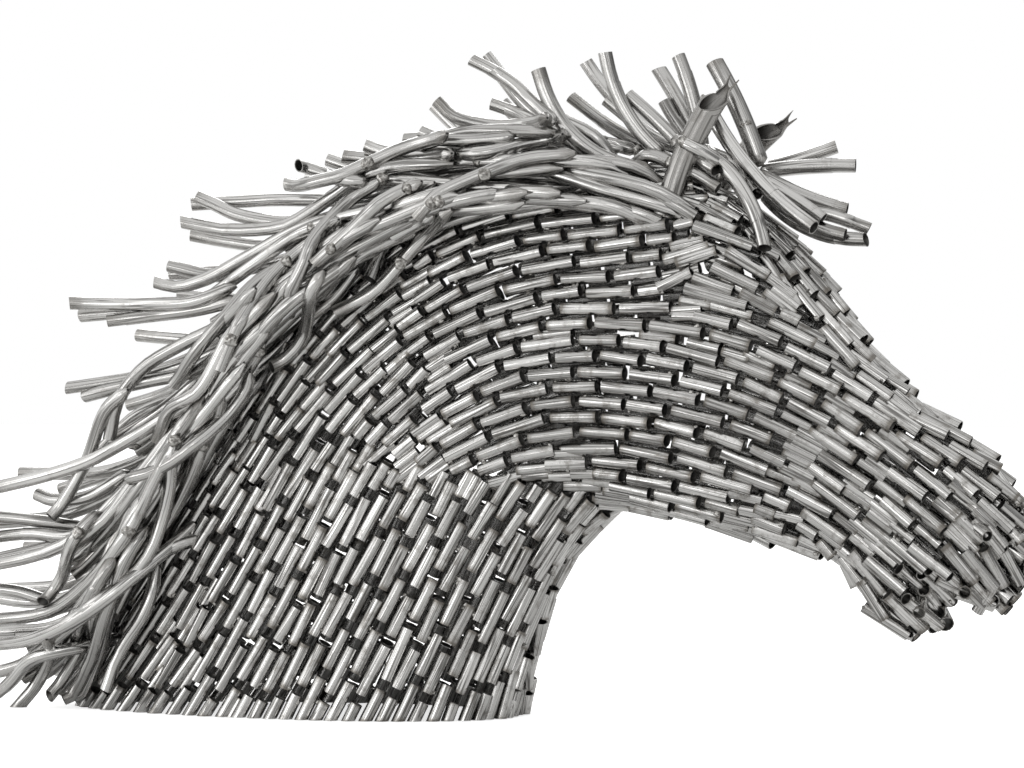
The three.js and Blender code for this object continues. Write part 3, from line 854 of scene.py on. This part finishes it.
# strands followed in the camera's picture from the tip to the root, each with the depth
# it has where nothing lies behind it
traced = [
    (-0.045, [(472, 60), (502, 75), (526, 97), (552, 115), (580, 128)]),
    (-0.035, [(500, 72), (520, 86), (540, 104), (566, 126)]),
    (-0.05, [(437, 101), (457, 118), (495, 126), (530, 124), (562, 121)]),
    (-0.01, [(492, 104), (520, 114), (556, 132)]),
    (-0.055, [(420, 147), (452, 135), (495, 131), (560, 133)]),
    (-0.055, [(424, 132), (446, 140), (480, 141), (520, 138)]),
    (-0.05, [(437, 220), (460, 198), (495, 180), (540, 162), (590, 156)]),
    (-0.05, [(455, 155), (495, 155), (532, 143), (572, 136)]),
    (-0.045, [(197, 197), (214, 204), (238, 215), (275, 222), (312, 222)]),
    (-0.055, [(182, 222), (225, 230), (275, 228), (300, 220), (337, 197), (362, 181), (400, 168),
              (460, 165)]),
    (-0.04, [(169, 266), (182, 269), (207, 275), (240, 276)]),
    (-0.055, [(155, 282), (178, 287), (207, 279), (250, 256), (300, 230), (345, 215)]),
    (-0.04, [(302, 166), (322, 173), (345, 180), (380, 184)]),
    (-0.055, [(286, 184), (307, 186), (350, 178), (375, 166), (412, 148), (460, 136)]),
    (-0.04, [(343, 156), (362, 158), (392, 162), (430, 158)]),
    (-0.05, [(365, 145), (385, 152), (420, 158), (462, 155)]),
    (-0.06, [(204, 302), (250, 268), (300, 237), (345, 222), (400, 212)]),
    (-0.06, [(72, 303), (108, 304), (150, 304), (200, 302), (240, 286)]),
    (-0.06, [(108, 321), (150, 316), (200, 310), (245, 300)]),
    (-0.065, [(242, 370), (260, 327), (282, 280), (305, 252), (330, 236), (360, 222)]),
    (-0.065, [(300, 315), (325, 267), (335, 237), (357, 202), (390, 180)]),
    (-0.065, [(337, 265), (375, 230), (407, 200), (440, 184)]),
    (-0.065, [(336, 312), (375, 291), (412, 250), (440, 228), (470, 212)]),
    (-0.065, [(275, 367), (296, 348), (318, 316), (345, 272)]),
    (-0.055, [(70, 388), (95, 384), (150, 375), (200, 362), (245, 342), (300, 310)]),
    (-0.05, [(88, 396), (150, 382), (200, 372), (255, 352)]),
    (-0.06, [(112, 440), (122, 402), (150, 368), (190, 345), (235, 325), (280, 290)]),
    (-0.065, [(180, 385), (205, 358), (236, 322), (262, 284), (290, 258)]),
    (-0.06, [(53, 517), (70, 492), (90, 455), (112, 412), (140, 390)]),
    (-0.05, [(-10, 489), (43, 477), (93, 462), (133, 443), (190, 412), (252, 380)]),
    (-0.045, [(37, 494), (55, 500), (90, 496), (130, 472)]),
    (-0.045, [(-10, 516), (40, 521), (84, 528), (110, 532)]),
    (-0.045, [(-10, 538), (33, 533), (80, 537), (120, 520)]),
    (-0.055, [(-10, 566), (43, 556), (87, 538), (130, 496), (170, 445)]),
    (-0.055, [(-10, 620), (52, 612), (100, 585), (150, 538), (180, 480), (205, 430)]),
    (-0.06, [(70, 638), (120, 602), (160, 560), (182, 500), (200, 440)]),
    (-0.06, [(80, 547), (120, 520), (150, 478), (185, 430), (215, 400), (235, 370)]),
    (-0.05, [(-10, 588), (20, 592), (45, 600)]),
    (-0.05, [(-10, 674), (30, 663), (60, 640), (112, 606)]),
    (-0.055, [(17, 637), (50, 633), (77, 620), (130, 580)]),
    (-0.06, [(14, 712), (34, 688), (52, 660), (72, 636)]),
    (-0.06, [(46, 601), (66, 576), (84, 552), (112, 512)]),
    (-0.065, [(76, 630), (103, 612), (130, 592), (160, 560)]),
    (-0.06, [(-10, 645), (34, 640), (80, 628), (137, 592), (172, 548)]),
    (-0.055, [(-10, 700), (22, 676), (50, 655), (95, 645)]),
    (-0.06, [(165, 440), (188, 410), (222, 392), (246, 352), (262, 318)]),
    (-0.065, [(150, 478), (184, 467), (220, 440), (250, 398), (262, 372)]),
    (-0.03, [(628, 95), (650, 114), (674, 138), (690, 158)]),
    (0.03, [(664, 101), (672, 116), (682, 130), (694, 152)]),
    (0.03, [(571, 97), (590, 112), (612, 128), (650, 148)]),
    (0.0, [(606, 100), (628, 118), (654, 138), (688, 152)]),
    (0.04, [(870, 229), (835, 216), (805, 210), (775, 190), (750, 172)]),
    (0.02, [(850, 236), (826, 229), (795, 212), (766, 186)]),
    (-0.03, [(722, 171), (704, 160), (690, 149), (676, 140)]),
    (-0.02, [(745, 186), (728, 168), (708, 152), (688, 142)]),
    (0.02, [(770, 196), (752, 176), (730, 160), (700, 148)]),
    (-0.05, [(718, 188), (700, 176), (684, 168), (664, 160)]),
]


def smoothLine(marks, shares):
    # Catmull-Rom curve through the marks, which are taken evenly apart in share, with the
    # end marks carried on straight
    marks = np.asarray(marks, dtype=float)
    held = np.concatenate([2 * marks[:1] - marks[1:2], marks, 2 * marks[-1:] - marks[-2:-1]])
    reach = np.concatenate([[0], np.cumsum(np.linalg.norm(np.diff(marks, axis=0), axis=1))])
    place = np.interp(np.asarray(shares) * reach[-1], reach, np.arange(len(marks)))
    i = np.minimum(place.astype(int), len(marks) - 2)
    t = (place - i)[:, None]
    a, b, c, d = held[i], held[i + 1], held[i + 2], held[i + 3]
    return 0.5 * (2 * b + (c - a) * t + (2 * a - 5 * b + 4 * c - d) * t ** 2
                  + (3 * b - 3 * c + d - a) * t ** 3)


def evened(values, passes):
    # each value averaged with its two neighbours, several times, the ends held
    for _ in range(passes):
        between = (values[:-2] + 2 * values[1:-1] + values[2:]) / 4
        values = np.concatenate([values[:1], between, values[-1:]])
    return values


def rodLine(node):
    # a rod's corners in order along its chord, eight to a ring, and each ring's middle
    loose = np.zeros(len(node.data.vertices) * 3)
    node.data.vertices.foreach_get("co", loose)
    corners = np.unique(np.round(loose.reshape(-1, 3), 5), axis=0)
    chord = np.linalg.svd(corners - corners.mean(axis=0), full_matrices=False)[2][0]
    rings = corners[np.argsort(corners @ chord)].reshape(-1, 8, 3)
    middles = rings.mean(axis=1)
    return middles, np.linalg.norm(rings - middles[:, None], axis=-1).mean()


def besideSkin(line, side, lift):
    # the depth at which each point of the line lies clear of the skin, on the given side,
    # or far behind where the skin isn't there
    depths = []
    for x, _, z in line:
        hit = skinTree.ray_cast(Vector((x, side * 0.6, z)), Vector((0, -side, 0)))[0]
        depths.append(hit.y + side * lift if hit else -side * 1.0)
    return np.array(depths)


def eased(depth):
    # the cubic of the share along the strand that fits its depths best
    share = np.linspace(-1, 1, len(depth))
    return np.polyval(np.polyfit(share, depth, 3), share)


def clearOf(line, laid, side):
    # moved out sideways in even steps until the others are nearly a tube's width away, or
    # as far as the mane may spread
    for _ in range(strands["moves"]):
        short = strands["apart"] - np.sqrt(((laid[None] - line[:, None]) ** 2).sum(-1)).min(axis=1)
        if short.max() < strands["enough"]:
            break
        push = eased(evened(np.maximum(short, 0), 4))
        depth = side * line[:, 1] + np.maximum(push, 0)
        line = np.stack([line[:, 0], side * np.minimum(depth, strands["widest"]), line[:, 2]], axis=1)
    return line


def rooted(line):
    # the root runs on a little and down into the skin, where that is near; also whether it did
    onward = unit(line[-1] - line[-3])
    place, normal = onSkin(line[-1] + strands["rootRun"] * onward)
    dive = place - strands["rootDeep"] * normal - line[-1]
    if np.linalg.norm(dive) > strands["rootReach"] or unit(dive) @ onward < strands["rootStraight"]:
        return line, False
    line = np.concatenate([line, [line[-1] + 0.45 * strands["rootRun"] * onward, line[-1] + dive]])
    line = smoothLine(line, np.linspace(0, 1, 30))
    return evened(line, 8), True


def clearDepth(line, side, level):
    # the given level or what clears the skin, whichever lies further out on that side, evened
    # along the strand and moved out by part of what it then lacks
    need = np.maximum(side * besideSkin(line, side, strands["radius"] + strands["lift"]), level)
    depth = eased(evened(need, 4))
    return side * (depth + max(0, strands["madeUp"] * (need - depth).max()))


def fromPicture(marks, level):
    # the marks' smooth line on the plane at the level's depth, then found again at the
    # depth where it comes to lie
    flat = smoothLine(marks, np.linspace(0, 1, 26))
    ray = rayThrough(flat[:, :1], flat[:, 1:])
    depth = np.full(len(flat), level)
    for _ in range(3):
        line = eye + ray * ((depth - eye[1]) / ray[:, 1])[:, None]
        depth = clearDepth(line, -1, -level)
    return eye + ray * ((depth - eye[1]) / ray[:, 1])[:, None]


def fillers(side, count, laid):
    # strands along the crest: each offset from it goes from the root's to the tip's as a
    # power of the share along the strand, with a slow wave on it
    reach = np.concatenate([[0], np.cumsum(np.linalg.norm(np.diff(crest, axis=0), axis=1))])[-1]
    share = np.linspace(0, 1, bed["marks"])
    lines = []
    for k in range(count):
        at = (k + dice.uniform(0, 1)) / count * (reach - bed["last"]) + bed["first"]
        length = min(dice.uniform(*bed["length"]), reach - at - 0.01)
        down = (at + length * share) / reach
        run = unit(smoothLine(crest, down + 0.005) - smoothLine(crest, down - 0.005))
        out = np.stack([run[:, 1], -run[:, 0]], axis=1)
        inner = dice.uniform(*bed["root"]) * np.interp(at, *bed["rootNearer"])
        outer = inner + dice.uniform(*bed["fan"]) + max(0, dice.normal(0, bed["stray"]))
        outer = outer + max(0, bed["flickUnder"] - length) * bed["flick"]
        offset = inner + (outer - inner) * share ** bed["bend"]
        wave = np.sin(2 * np.pi * (share * dice.uniform(*bed["waves"]) + dice.uniform()))
        flat = smoothLine(crest, down) + out * (offset + bed["wave"] * wave)[:, None]
        line = np.insert(flat, 1, side * 0.02, axis=1)
        line[:, 2] = np.maximum(line[:, 2], bed["lowest"])
        line[:, 1] = clearDepth(line, side, dice.uniform(*bed["level"]))
        line = clearOf(line, laid, side)
        laid = np.concatenate([laid, line])
        lines.append(line[::-1])
    return lines, laid


def addStrands(name, lines, radii, *nodes):
    # lines laid out again at even shares of their length, tip first, with two close marks
    # where a narrower tip piece ends in some of them; those that stand for nodes keep their
    # line, the others' roots dive or are pinched
    count = len(lines)
    joint = np.where(dice.uniform(size=count) < strands["sleeve"],
                     dice.uniform(*strands["sleeveEnds"], count), -1)
    paths, thick = [], []
    for line, radius, ends in zip(lines, radii, joint):
        line, sunk = (line, False) if nodes else rooted(line)
        shares = np.linspace(0, 1, strands["rings"])
        if ends > 0:
            step = strands["sleeveStep"]
            shares[np.argsort(np.abs(shares - ends))[:2]] = ends - step, ends + step
            shares.sort()
        paths.append(smoothLine(line, shares))
        pinch = 1 if sunk else np.interp(shares, *strands["pinch"])
        thick.append(np.where(shares < ends, strands["sleeveIn"], 1) * pinch * radius)
    paths = np.array(paths)
    along = unit(paths[:, 1] - paths[:, 0])
    side = unit(np.cross(along, unit(dice.normal(size=(count, 3)))))
    slants = dice.normal(0, strands["slant"], (count, 2))
    piece = addTubes(name, paths, np.array(thick), strands["wall"], side, strands["sides"],
                     maneSteel, slants)
    if nodes:
        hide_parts(*nodes)
    print(name, count)


def tipFirst(line):
    # the end further from the poll comes first
    far = np.linalg.norm(line[[0, -1]][:, ::2] - crest[0], axis=1)
    return line if far[0] > far[1] else line[::-1]


maneLook = {
    **skinLook,
    "dark": (0.46, 0.454, 0.444, 1),
    "light": (0.7, 0.692, 0.68, 1),
    "stainShare": 0.45,
    "patchShare": 0.25,
    "patchFrom": 0.6,
    "scratchShade": 0.45,
    # painted reflection: the thin dark lines a little fainter on the mane
    "streakAndReflectionShade": 0.7,
    "roughness": (0.16, 0.27),
}
maneSteel = steel("mane_steel", maneLook)

laid = np.empty((0, 3))
for name, start in (
    ("forelock_tubes", "forelock_tube"), ("mane_flicks", "mane_flick"),
    ("mane_locks_right", "mane_lock_right"), ("mane_locks_left", "mane_lock_left"),
):
    parts = [part for part in nodes if part.startswith(start)]
    read = [rodLine(nodes[part]) for part in parts]
    lines = [tipFirst(line) for line, _ in read]
    addStrands(name, lines, [radius for _, radius in read], *parts)
    laid = np.concatenate([laid] + [smoothLine(line, np.linspace(0, 1, 26)) for line in lines])

for side, name in ((-1, "right"), (1, "left")):
    lines, laid = fillers(side, bed[name], laid)
    addStrands("mane_bed_" + name, lines, [strands["radius"]] * bed[name])

lines = []
for level, marks in traced:
    line = clearOf(fromPicture(marks, level), laid, -1)
    laid = np.concatenate([laid, line])
    lines.append(line)
addStrands("mane_strands", lines, [strands["radius"]] * len(lines))


# ears: wide tube, its top cut slanting into a scoop, the rest of its wall a tongue with two points

ears = {
    "length": 0.168,
    "under": 0.06,          # share of the length that runs on below the root
    "wall": 0.0024,
    "radius": 0.0143,
    "cut": (0.70, 0.874),   # shares where the slanting plane enters and leaves
    # beyond that: share, half of the angle that is left in radians, radius there
    "tongue": ((0.835, 0.9, 0.0143), (0.87, 1.15, 0.0095), (0.9, 1.5, 0.0062), (0.93, 1.5, 0.006),
               (1.0, 1.25, 0.0082)),
    "setBack": 0.75,        # share of what the tongue lacks in radius, so its back runs on
    "notch": 0.013,
    "notchFrom": 0.75,
    "thinner": ((0.88, 1), (1, 0.6)),   # share, share of the wall left there
    "faces": 1.05,          # the cut's turn towards the horse's right side
    "rings": 120,
    "sides": 36,
    "tone": 0.6,
    "stain": 0.7,
    # share of the bore's painted shade that the ear's inner face gets
    "bore": 0.6,
    "mapWide": 0.18,        # round both faces
    "right": {"root": (0.455, -0.062, 0.580), "lean": 65, "bend": -24, "splay": 6},
    "left": {"root": (0.456, 0.062, 0.574), "lean": 46, "bend": -20, "splay": -6},
}


def earLine(place, shares):
    # a heading that turns evenly; the line is the running sum of its steps
    steps = np.linspace(-ears["under"], 1, 240)
    heading = np.radians(place["lean"] + place["bend"] * (steps - 0.5))
    splay = math.sin(math.radians(place["splay"]))
    stride = np.stack([np.cos(heading), np.full(len(steps), splay), np.sin(heading)], axis=1)
    run = np.cumsum(stride, axis=0) * ears["length"] * (steps[1] - steps[0])
    run = run - run[np.abs(steps).argmin()] + place["root"]
    return [np.stack([np.interp(shares, steps, column) for column in columns.T], -1)
            for columns in (run, unit(stride))]


def earSheet(place):
    # centre line + radius x (cos a x back + sin a x side), where a runs over the whole
    # round below and over what the cut leaves above; the last rings are drawn back in the
    # middle for the notch, and the inner face lies one wall further in
    across = np.linspace(-1, 1, ears["sides"])
    share = np.linspace(-ears["under"], 1, ears["rings"])[:, None]
    late = np.clip((share - ears["notchFrom"]) / (1 - ears["notchFrom"]), 0, 1)
    share = share - ears["notch"] / ears["length"] * (1 - np.abs(across) ** 3) * late ** 2
    centre, along = earLine(place, share)
    over = unit(np.cross(along, np.cross([0.0, 0.0, 1.0], along)))
    side = np.cross(along, over)
    turn = ears["faces"]
    back = -(math.cos(turn) * over + math.sin(turn) * side)
    side = np.cross(along, back)
    start, stop = ears["cut"]
    half = np.pi - np.arccos(np.clip(1 - 2 * (share - start) / (stop - start), -1, 1))
    marks = np.array(ears["tongue"])
    half = np.where(share < marks[0, 0], half, np.interp(share, marks[:, 0], marks[:, 1]))
    radius = np.interp(share, marks[:, 0], marks[:, 2])
    angle = across * np.minimum(half, np.pi * 0.998)
    centre = centre + back * (ears["setBack"] * (ears["radius"] - radius))[..., None]
    faces = []
    for depth in (0, ears["wall"] * np.interp(share, *ears["thinner"])):
        outward = np.cos(angle)[..., None] * back + np.sin(angle)[..., None] * side
        faces.append(centre + (radius - depth)[..., None] * outward)
    return np.concatenate([faces[0], faces[1][:, ::-1]], axis=1)


def sheetFaces(rings, sides):
    # the loop of outer and inner face round each ring, and a strip between the two faces
    # at either end
    ring, side = np.meshgrid(np.arange(rings - 1), np.arange(2 * sides), indexing="ij")
    after = (side + 1) % (2 * sides)
    wide = 2 * sides
    low, high = ring * wide, (ring + 1) * wide
    loops = np.stack([low + side, low + after, high + after, high + side], axis=-1)
    k = np.arange(sides - 1)
    rim = np.stack([k, wide - 1 - k, wide - 2 - k, k + 1], axis=-1)
    return np.concatenate([loops.reshape(-1, 4), rim, rim[:, ::-1] + (rings - 1) * wide])


earLook = {
    **maneLook,
    "dark": (0.33, 0.322, 0.31, 1),
    "light": (0.43, 0.42, 0.408, 1),
    # the ear's thin dark lines: brushed streaks and painted reflection
    "streakAndReflectionShade": 0.85,
    "streakAndReflectionScale": (4, 260, 1),
    "stainShare": 0.8,
    "patchShare": 0.4,
    "patchFrom": 0.54,
}
earSteel = steel("ear_steel", earLook)

for side in ("right", "left"):
    grid = earSheet(ears[side])
    piece = addMesh("ear_scoop_" + side, grid.reshape(-1, 3), sheetFaces(ears["rings"], ears["sides"]))
    mesh = piece.data
    rings, wide = grid.shape[:2]
    values = {
        "tone": ears["tone"],
        "along": np.linspace(-1, 1, rings)[:, None],
        "stain": ears["stain"],
        # the inner face, darkened as painted shade
        "bore": (np.arange(wide) >= wide // 2) * ears["bore"],
    }
    for label, value in values.items():
        addValue(piece, label, np.broadcast_to(value, (rings, wide)))
    corner = np.empty(len(mesh.loops), dtype=np.int32)
    mesh.loops.foreach_get("vertex_index", corner)
    places = np.stack([corner // wide / rings * ears["length"],
                       corner % wide / wide * ears["mapWide"]], axis=-1)
    mesh.uv_layers.new(name="tubeMap").data.foreach_set("uv", places.astype(np.float32).ravel())
    piece.data.materials.append(earSteel)
    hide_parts("ear_" + side)
print("ears cut")


# welds: round beads where strands cross, and small lumps between the skin's tubes

welds = {
    # round ones, by their place in the camera's picture
    "beads": [
        (385, 176), (372, 166), (308, 221), (330, 255), (426, 209), (415, 275), (287, 257), (264, 354),
        (225, 335), (190, 381), (400, 190), (606, 126), (482, 177), (472, 166), (635, 155), (675, 140),
        (664, 162), (435, 200), (78, 537), (162, 482), (167, 445), (130, 450), (127, 540), (203, 452),
        (733, 125),
    ],
    "near": 9,              # a bead sits on the nearest tube this many pixels round its place
    "nearSide": 0.02,       # of the strands up to here across the mid-plane
    "beadOut": 0.8,         # of the strand's radius towards the camera
    "radius": 0.0074,
    "height": 0.6,
    "grid": (10, 18),
    "lumps": 520,           # on each side of the head and neck
    "lumpRadius": (0.0014, 0.0034),
    "lumpHeight": 0.7,
    "lumpGrid": (5, 8),
    "lumpBack": 0.008,      # from the tube's end
    "lumpAside": 0.92,      # of the tube's radius from its line, along the skin and out
    "lumpUp": 0.3,
    "lowest": 0.006,
    "rough": 0.22,
}


def addLumps(name, middles, outward, radii, height, rings, sides):
    # a ball's rings between two poles, flattened along its outward way, and each point
    # moved in or out by slow waves of its own
    count = len(middles)
    turn = np.linspace(0, np.pi, rings + 1)[1:-1, None]
    spin = np.linspace(0, 2 * np.pi, sides, endpoint=False)
    ball = np.stack([np.sin(turn) * np.cos(spin), np.sin(turn) * np.sin(spin),
                     np.broadcast_to(np.cos(turn), (rings - 1, sides))], axis=-1).reshape(-1, 3)
    ball = np.concatenate([[[0, 0, 1]], ball, [[0, 0, -1]]])
    start = dice.uniform(0, 2 * np.pi, (count, 1, 3))
    slow = np.sin(3 * ball + start).mean(axis=-1)
    fast = np.sin(5 * ball[:, ::-1] + start).mean(axis=-1)
    swell = 1 + welds["rough"] * (slow + 0.6 * fast)
    side = unit(np.cross(outward, unit(dice.normal(size=(count, 3)))))
    axes = np.stack([side, np.cross(outward, side), outward * height], axis=1)
    points = middles[:, None] + (ball * swell[..., None]) @ axes * radii[:, None, None]
    ring, k = np.meshgrid(np.arange(rings - 2), np.arange(sides), indexing="ij")
    a, b = 1 + ring * sides + k, 1 + ring * sides + (k + 1) % sides
    rim, after = np.arange(sides), (np.arange(sides) + 1) % sides
    last = len(ball) - 1
    faces = np.concatenate([
        np.stack([a, a + sides, b + sides], -1).reshape(-1, 3),
        np.stack([a, b + sides, b], -1).reshape(-1, 3),
        np.stack([np.zeros(sides, int), 1 + rim, 1 + after], -1),
        np.stack([np.full(sides, last), last - sides + after, last - sides + rim], -1),
    ])
    faces = (faces[None] + np.arange(count)[:, None, None] * len(ball)).reshape(-1, 3)
    piece = addMesh(name, points.reshape(-1, 3), faces)
    piece.data.materials.append(weldSteel)
    print(name, count)


weldLook = {
    "dark": (0.16, 0.152, 0.142, 1),
    "light": (0.5, 0.49, 0.47, 1),
    "stops": (0.4, 0.62),
    "grain": 260,
    "depth": 0.5,
    "roughness": (0.12, 0.34),
}


def weldMetal(name, look):
    # dark and light blotches and a ripple in the height, both from noise
    material, node = newMaterial(name)
    place = node("ShaderNodeTexCoord").outputs["Object"]
    grain = {"Vector": place, "Scale": look["grain"], "Detail": 3}
    noise = node("ShaderNodeTexNoise", inputs=grain).outputs["Fac"]
    ramp = node("ShaderNodeValToRGB", inputs={"Fac": noise})
    for stop, at, colour in zip(ramp.color_ramp.elements, look["stops"], (look["dark"], look["light"])):
        stop.position, stop.color = at, colour
    low, high = look["roughness"]
    rough = node("ShaderNodeMapRange", inputs={"Value": noise, "To Min": low, "To Max": high})
    bump = node("ShaderNodeBump", inputs={"Height": noise, "Strength": look["depth"], "Distance": 0.001})
    shader = node("ShaderNodeBsdfPrincipled", inputs={
        "Base Color": ramp.outputs["Color"], "Metallic": 1.0, "Roughness": rough.outputs["Result"],
        "Normal": bump.outputs["Normal"],
    })
    node("ShaderNodeOutputMaterial", inputs={"Surface": shader.outputs["BSDF"]})
    return material


weldSteel = weldMetal("weld_steel", weldLook)
near = laid[laid[:, 1] < welds["nearSide"]]
seen = inPicture(near)
middles = []
for right, down in welds["beads"]:
    miss = np.hypot(seen[:, 0] - right, seen[:, 1] - down)
    close = np.flatnonzero(miss < max(welds["near"], miss.min() + 1))
    middles.append(near[close[(near[close] @ -ahead).argmax()]])
middles = np.array(middles)
outward = unit(eye - middles)
middles = middles + welds["beadOut"] * strands["radius"] * outward
addLumps("mane_welds", middles, outward, np.full(len(middles), welds["radius"]), welds["height"],
         *welds["grid"])

for side, (paths, inward, stock) in skinPaths.items():
    # on the flank of a tube near one of its ends, where it touches the next row
    count = welds["lumps"]
    pick = dice.integers(0, len(paths), count)
    end = dice.integers(0, 2, count)
    along = unit(paths[pick, 1] - paths[pick, 0])
    flank = np.cross(along, inward[pick]) * dice.choice((-1, 1), count)[:, None]
    back = dice.uniform(0, welds["lumpBack"], (count, 1)) * np.where(end, -1, 1)[:, None]
    off = welds["lumpAside"] * flank - welds["lumpUp"] * inward[pick]
    middles = paths[pick, end] + back * along + off * stock[pick][:, None]
    up = middles[:, 2] > welds["lowest"]
    addLumps("skin_welds_" + side, middles[up], unit(flank - inward[pick])[up],
             dice.uniform(*welds["lumpRadius"], up.sum()), welds["lumpHeight"], *welds["lumpGrid"])


def addCamera():
    data = bpy.data.cameras.new("camera")
    data.lens = shot["lens"]
    data.sensor_width = shot["sensor"]
    data.clip_end = 200
    camera = bpy.data.objects.new("camera", data)
    camera.location = shot["place"]
    camera.rotation_euler = Vector(ahead).to_track_quat("-Z", "Y").to_euler()
    bpy.context.scene.collection.objects.link(camera)
    bpy.context.scene.camera = camera


studio = {
    "floorSide": 60.0,
    "floorDrop": 0.001,
    "floorColour": (0.82, 0.82, 0.815, 1),
    "floorGlow": 0.72,
    "backdrop": 1.0,
    "brightSide": (-0.6, 0.8, 0.05),    # right, up and towards the camera
    # share of the way from the dark side to the bright one, and the level there
    "levels": ((0.05, 0.14), (0.33, 0.21), (0.46, 0.4), (0.55, 0.86), (0.9, 0.95)),
    # soft boxes round the horse's right side: turn from there towards the muzzle, rise,
    # width, height, watts
    "boxes": ((-62, 2, 1.25, 0.42, 4.3), (-39, 2, 1.25, 0.42, 4.3), (-16, 2, 1.25, 0.42, 4.3),
              (-58, 24, 2.2, 1.2, 7), (18, 17, 1.5, 0.5, 4), (55, 8, 1.4, 0.6, 2)),
    "boxesFar": 3.2,
    "behind": ((-0.6, 2.6, 2.2), (2.0, 1.2), 30),
}


def addLamp(name, place, back, size, watts):
    # a level rectangle that shines away from its back
    along = unit(np.cross(upward, back))
    data = bpy.data.lights.new(name, "AREA")
    data.shape = "RECTANGLE"
    data.size, data.size_y = size
    data.energy = watts
    lamp = bpy.data.objects.new(name, data)
    turned = Matrix(np.stack([along, np.cross(back, along), back], axis=1).tolist())
    lamp.matrix_world = Matrix.Translation(place) @ turned.to_4x4()
    bpy.context.scene.collection.objects.link(lamp)


def addWorld():
    # white to the camera all round; reflections see it fade from bright above to dark below
    world = bpy.data.worlds.new("studio")
    bpy.context.scene.world = world
    world.use_nodes = True
    node = nodeMaker(world.node_tree)
    right, over, toCamera = studio["brightSide"]
    bright = unit(right * rightward + over * upward - toCamera * ahead)
    place = node("ShaderNodeTexCoord").outputs["Generated"]
    facing = node("ShaderNodeVectorMath", operation="DOT_PRODUCT", inputs={0: place, 1: bright})
    share = node("ShaderNodeMapRange", inputs={"Value": facing.outputs["Value"], "From Min": -1})
    ramp = node("ShaderNodeValToRGB", inputs={"Fac": share.outputs["Result"]})
    for at, level in studio["levels"]:
        ramp.color_ramp.elements.new(at).color = (level, level, level * 0.99, 1)
    ramp.color_ramp.elements.remove(ramp.color_ramp.elements[0])
    ramp.color_ramp.elements.remove(ramp.color_ramp.elements[-1])
    colour = node("ShaderNodeMix", data_type="RGBA", inputs={
        "Factor": node("ShaderNodeLightPath").outputs["Is Camera Ray"],
        6: ramp.outputs["Color"], 7: (studio["backdrop"],) * 3 + (1,),
    })
    glow = node("ShaderNodeBackground", inputs={"Color": colour.outputs[2]})
    node("ShaderNodeOutputWorld", inputs={"Surface": glow.outputs["Background"]})


def addFloor():
    half, low = studio["floorSide"] / 2, -studio["floorDrop"]
    floor = bpy.data.objects.new("floor", bpy.data.meshes.new("floor"))
    corners = [(-half, -half, low), (half, -half, low), (half, half, low), (-half, half, low)]
    floor.data.from_pydata(corners, [], [(0, 1, 2, 3)])
    bpy.context.scene.collection.objects.link(floor)
    paper, node = newMaterial("paper")
    seen = node("ShaderNodeLightPath").outputs["Is Camera Ray"]
    glow = node("ShaderNodeMath", operation="MULTIPLY", inputs={0: seen, 1: studio["floorGlow"]})
    coat = node("ShaderNodeBsdfPrincipled", inputs={
        "Base Color": studio["floorColour"], "Roughness": 0.9, "Specular IOR Level": 0.0,
        "Emission Color": (1, 1, 1, 1), "Emission Strength": glow.outputs[0],
    })
    node("ShaderNodeOutputMaterial", inputs={"Surface": coat.outputs["BSDF"]})
    floor.data.materials.append(paper)


def addStudio():
    addWorld()
    aim = np.array(shot["aim"])
    for k, (turn, rise, wide, high, watts) in enumerate(studio["boxes"]):
        turn, rise = math.radians(turn), math.radians(rise)
        level = math.cos(rise)
        toLamp = np.array([math.sin(turn) * level, -math.cos(turn) * level, math.sin(rise)])
        addLamp("box" + str(k), aim + studio["boxesFar"] * toLamp, toLamp, (wide, high), watts)
    place, size, watts = studio["behind"]
    addLamp("behind", place, unit(np.array(place) - aim), size, watts)
    addFloor()
    bpy.context.scene.view_settings.view_transform = "Standard"


addCamera()
addStudio()
print("camera, floor and lights set")
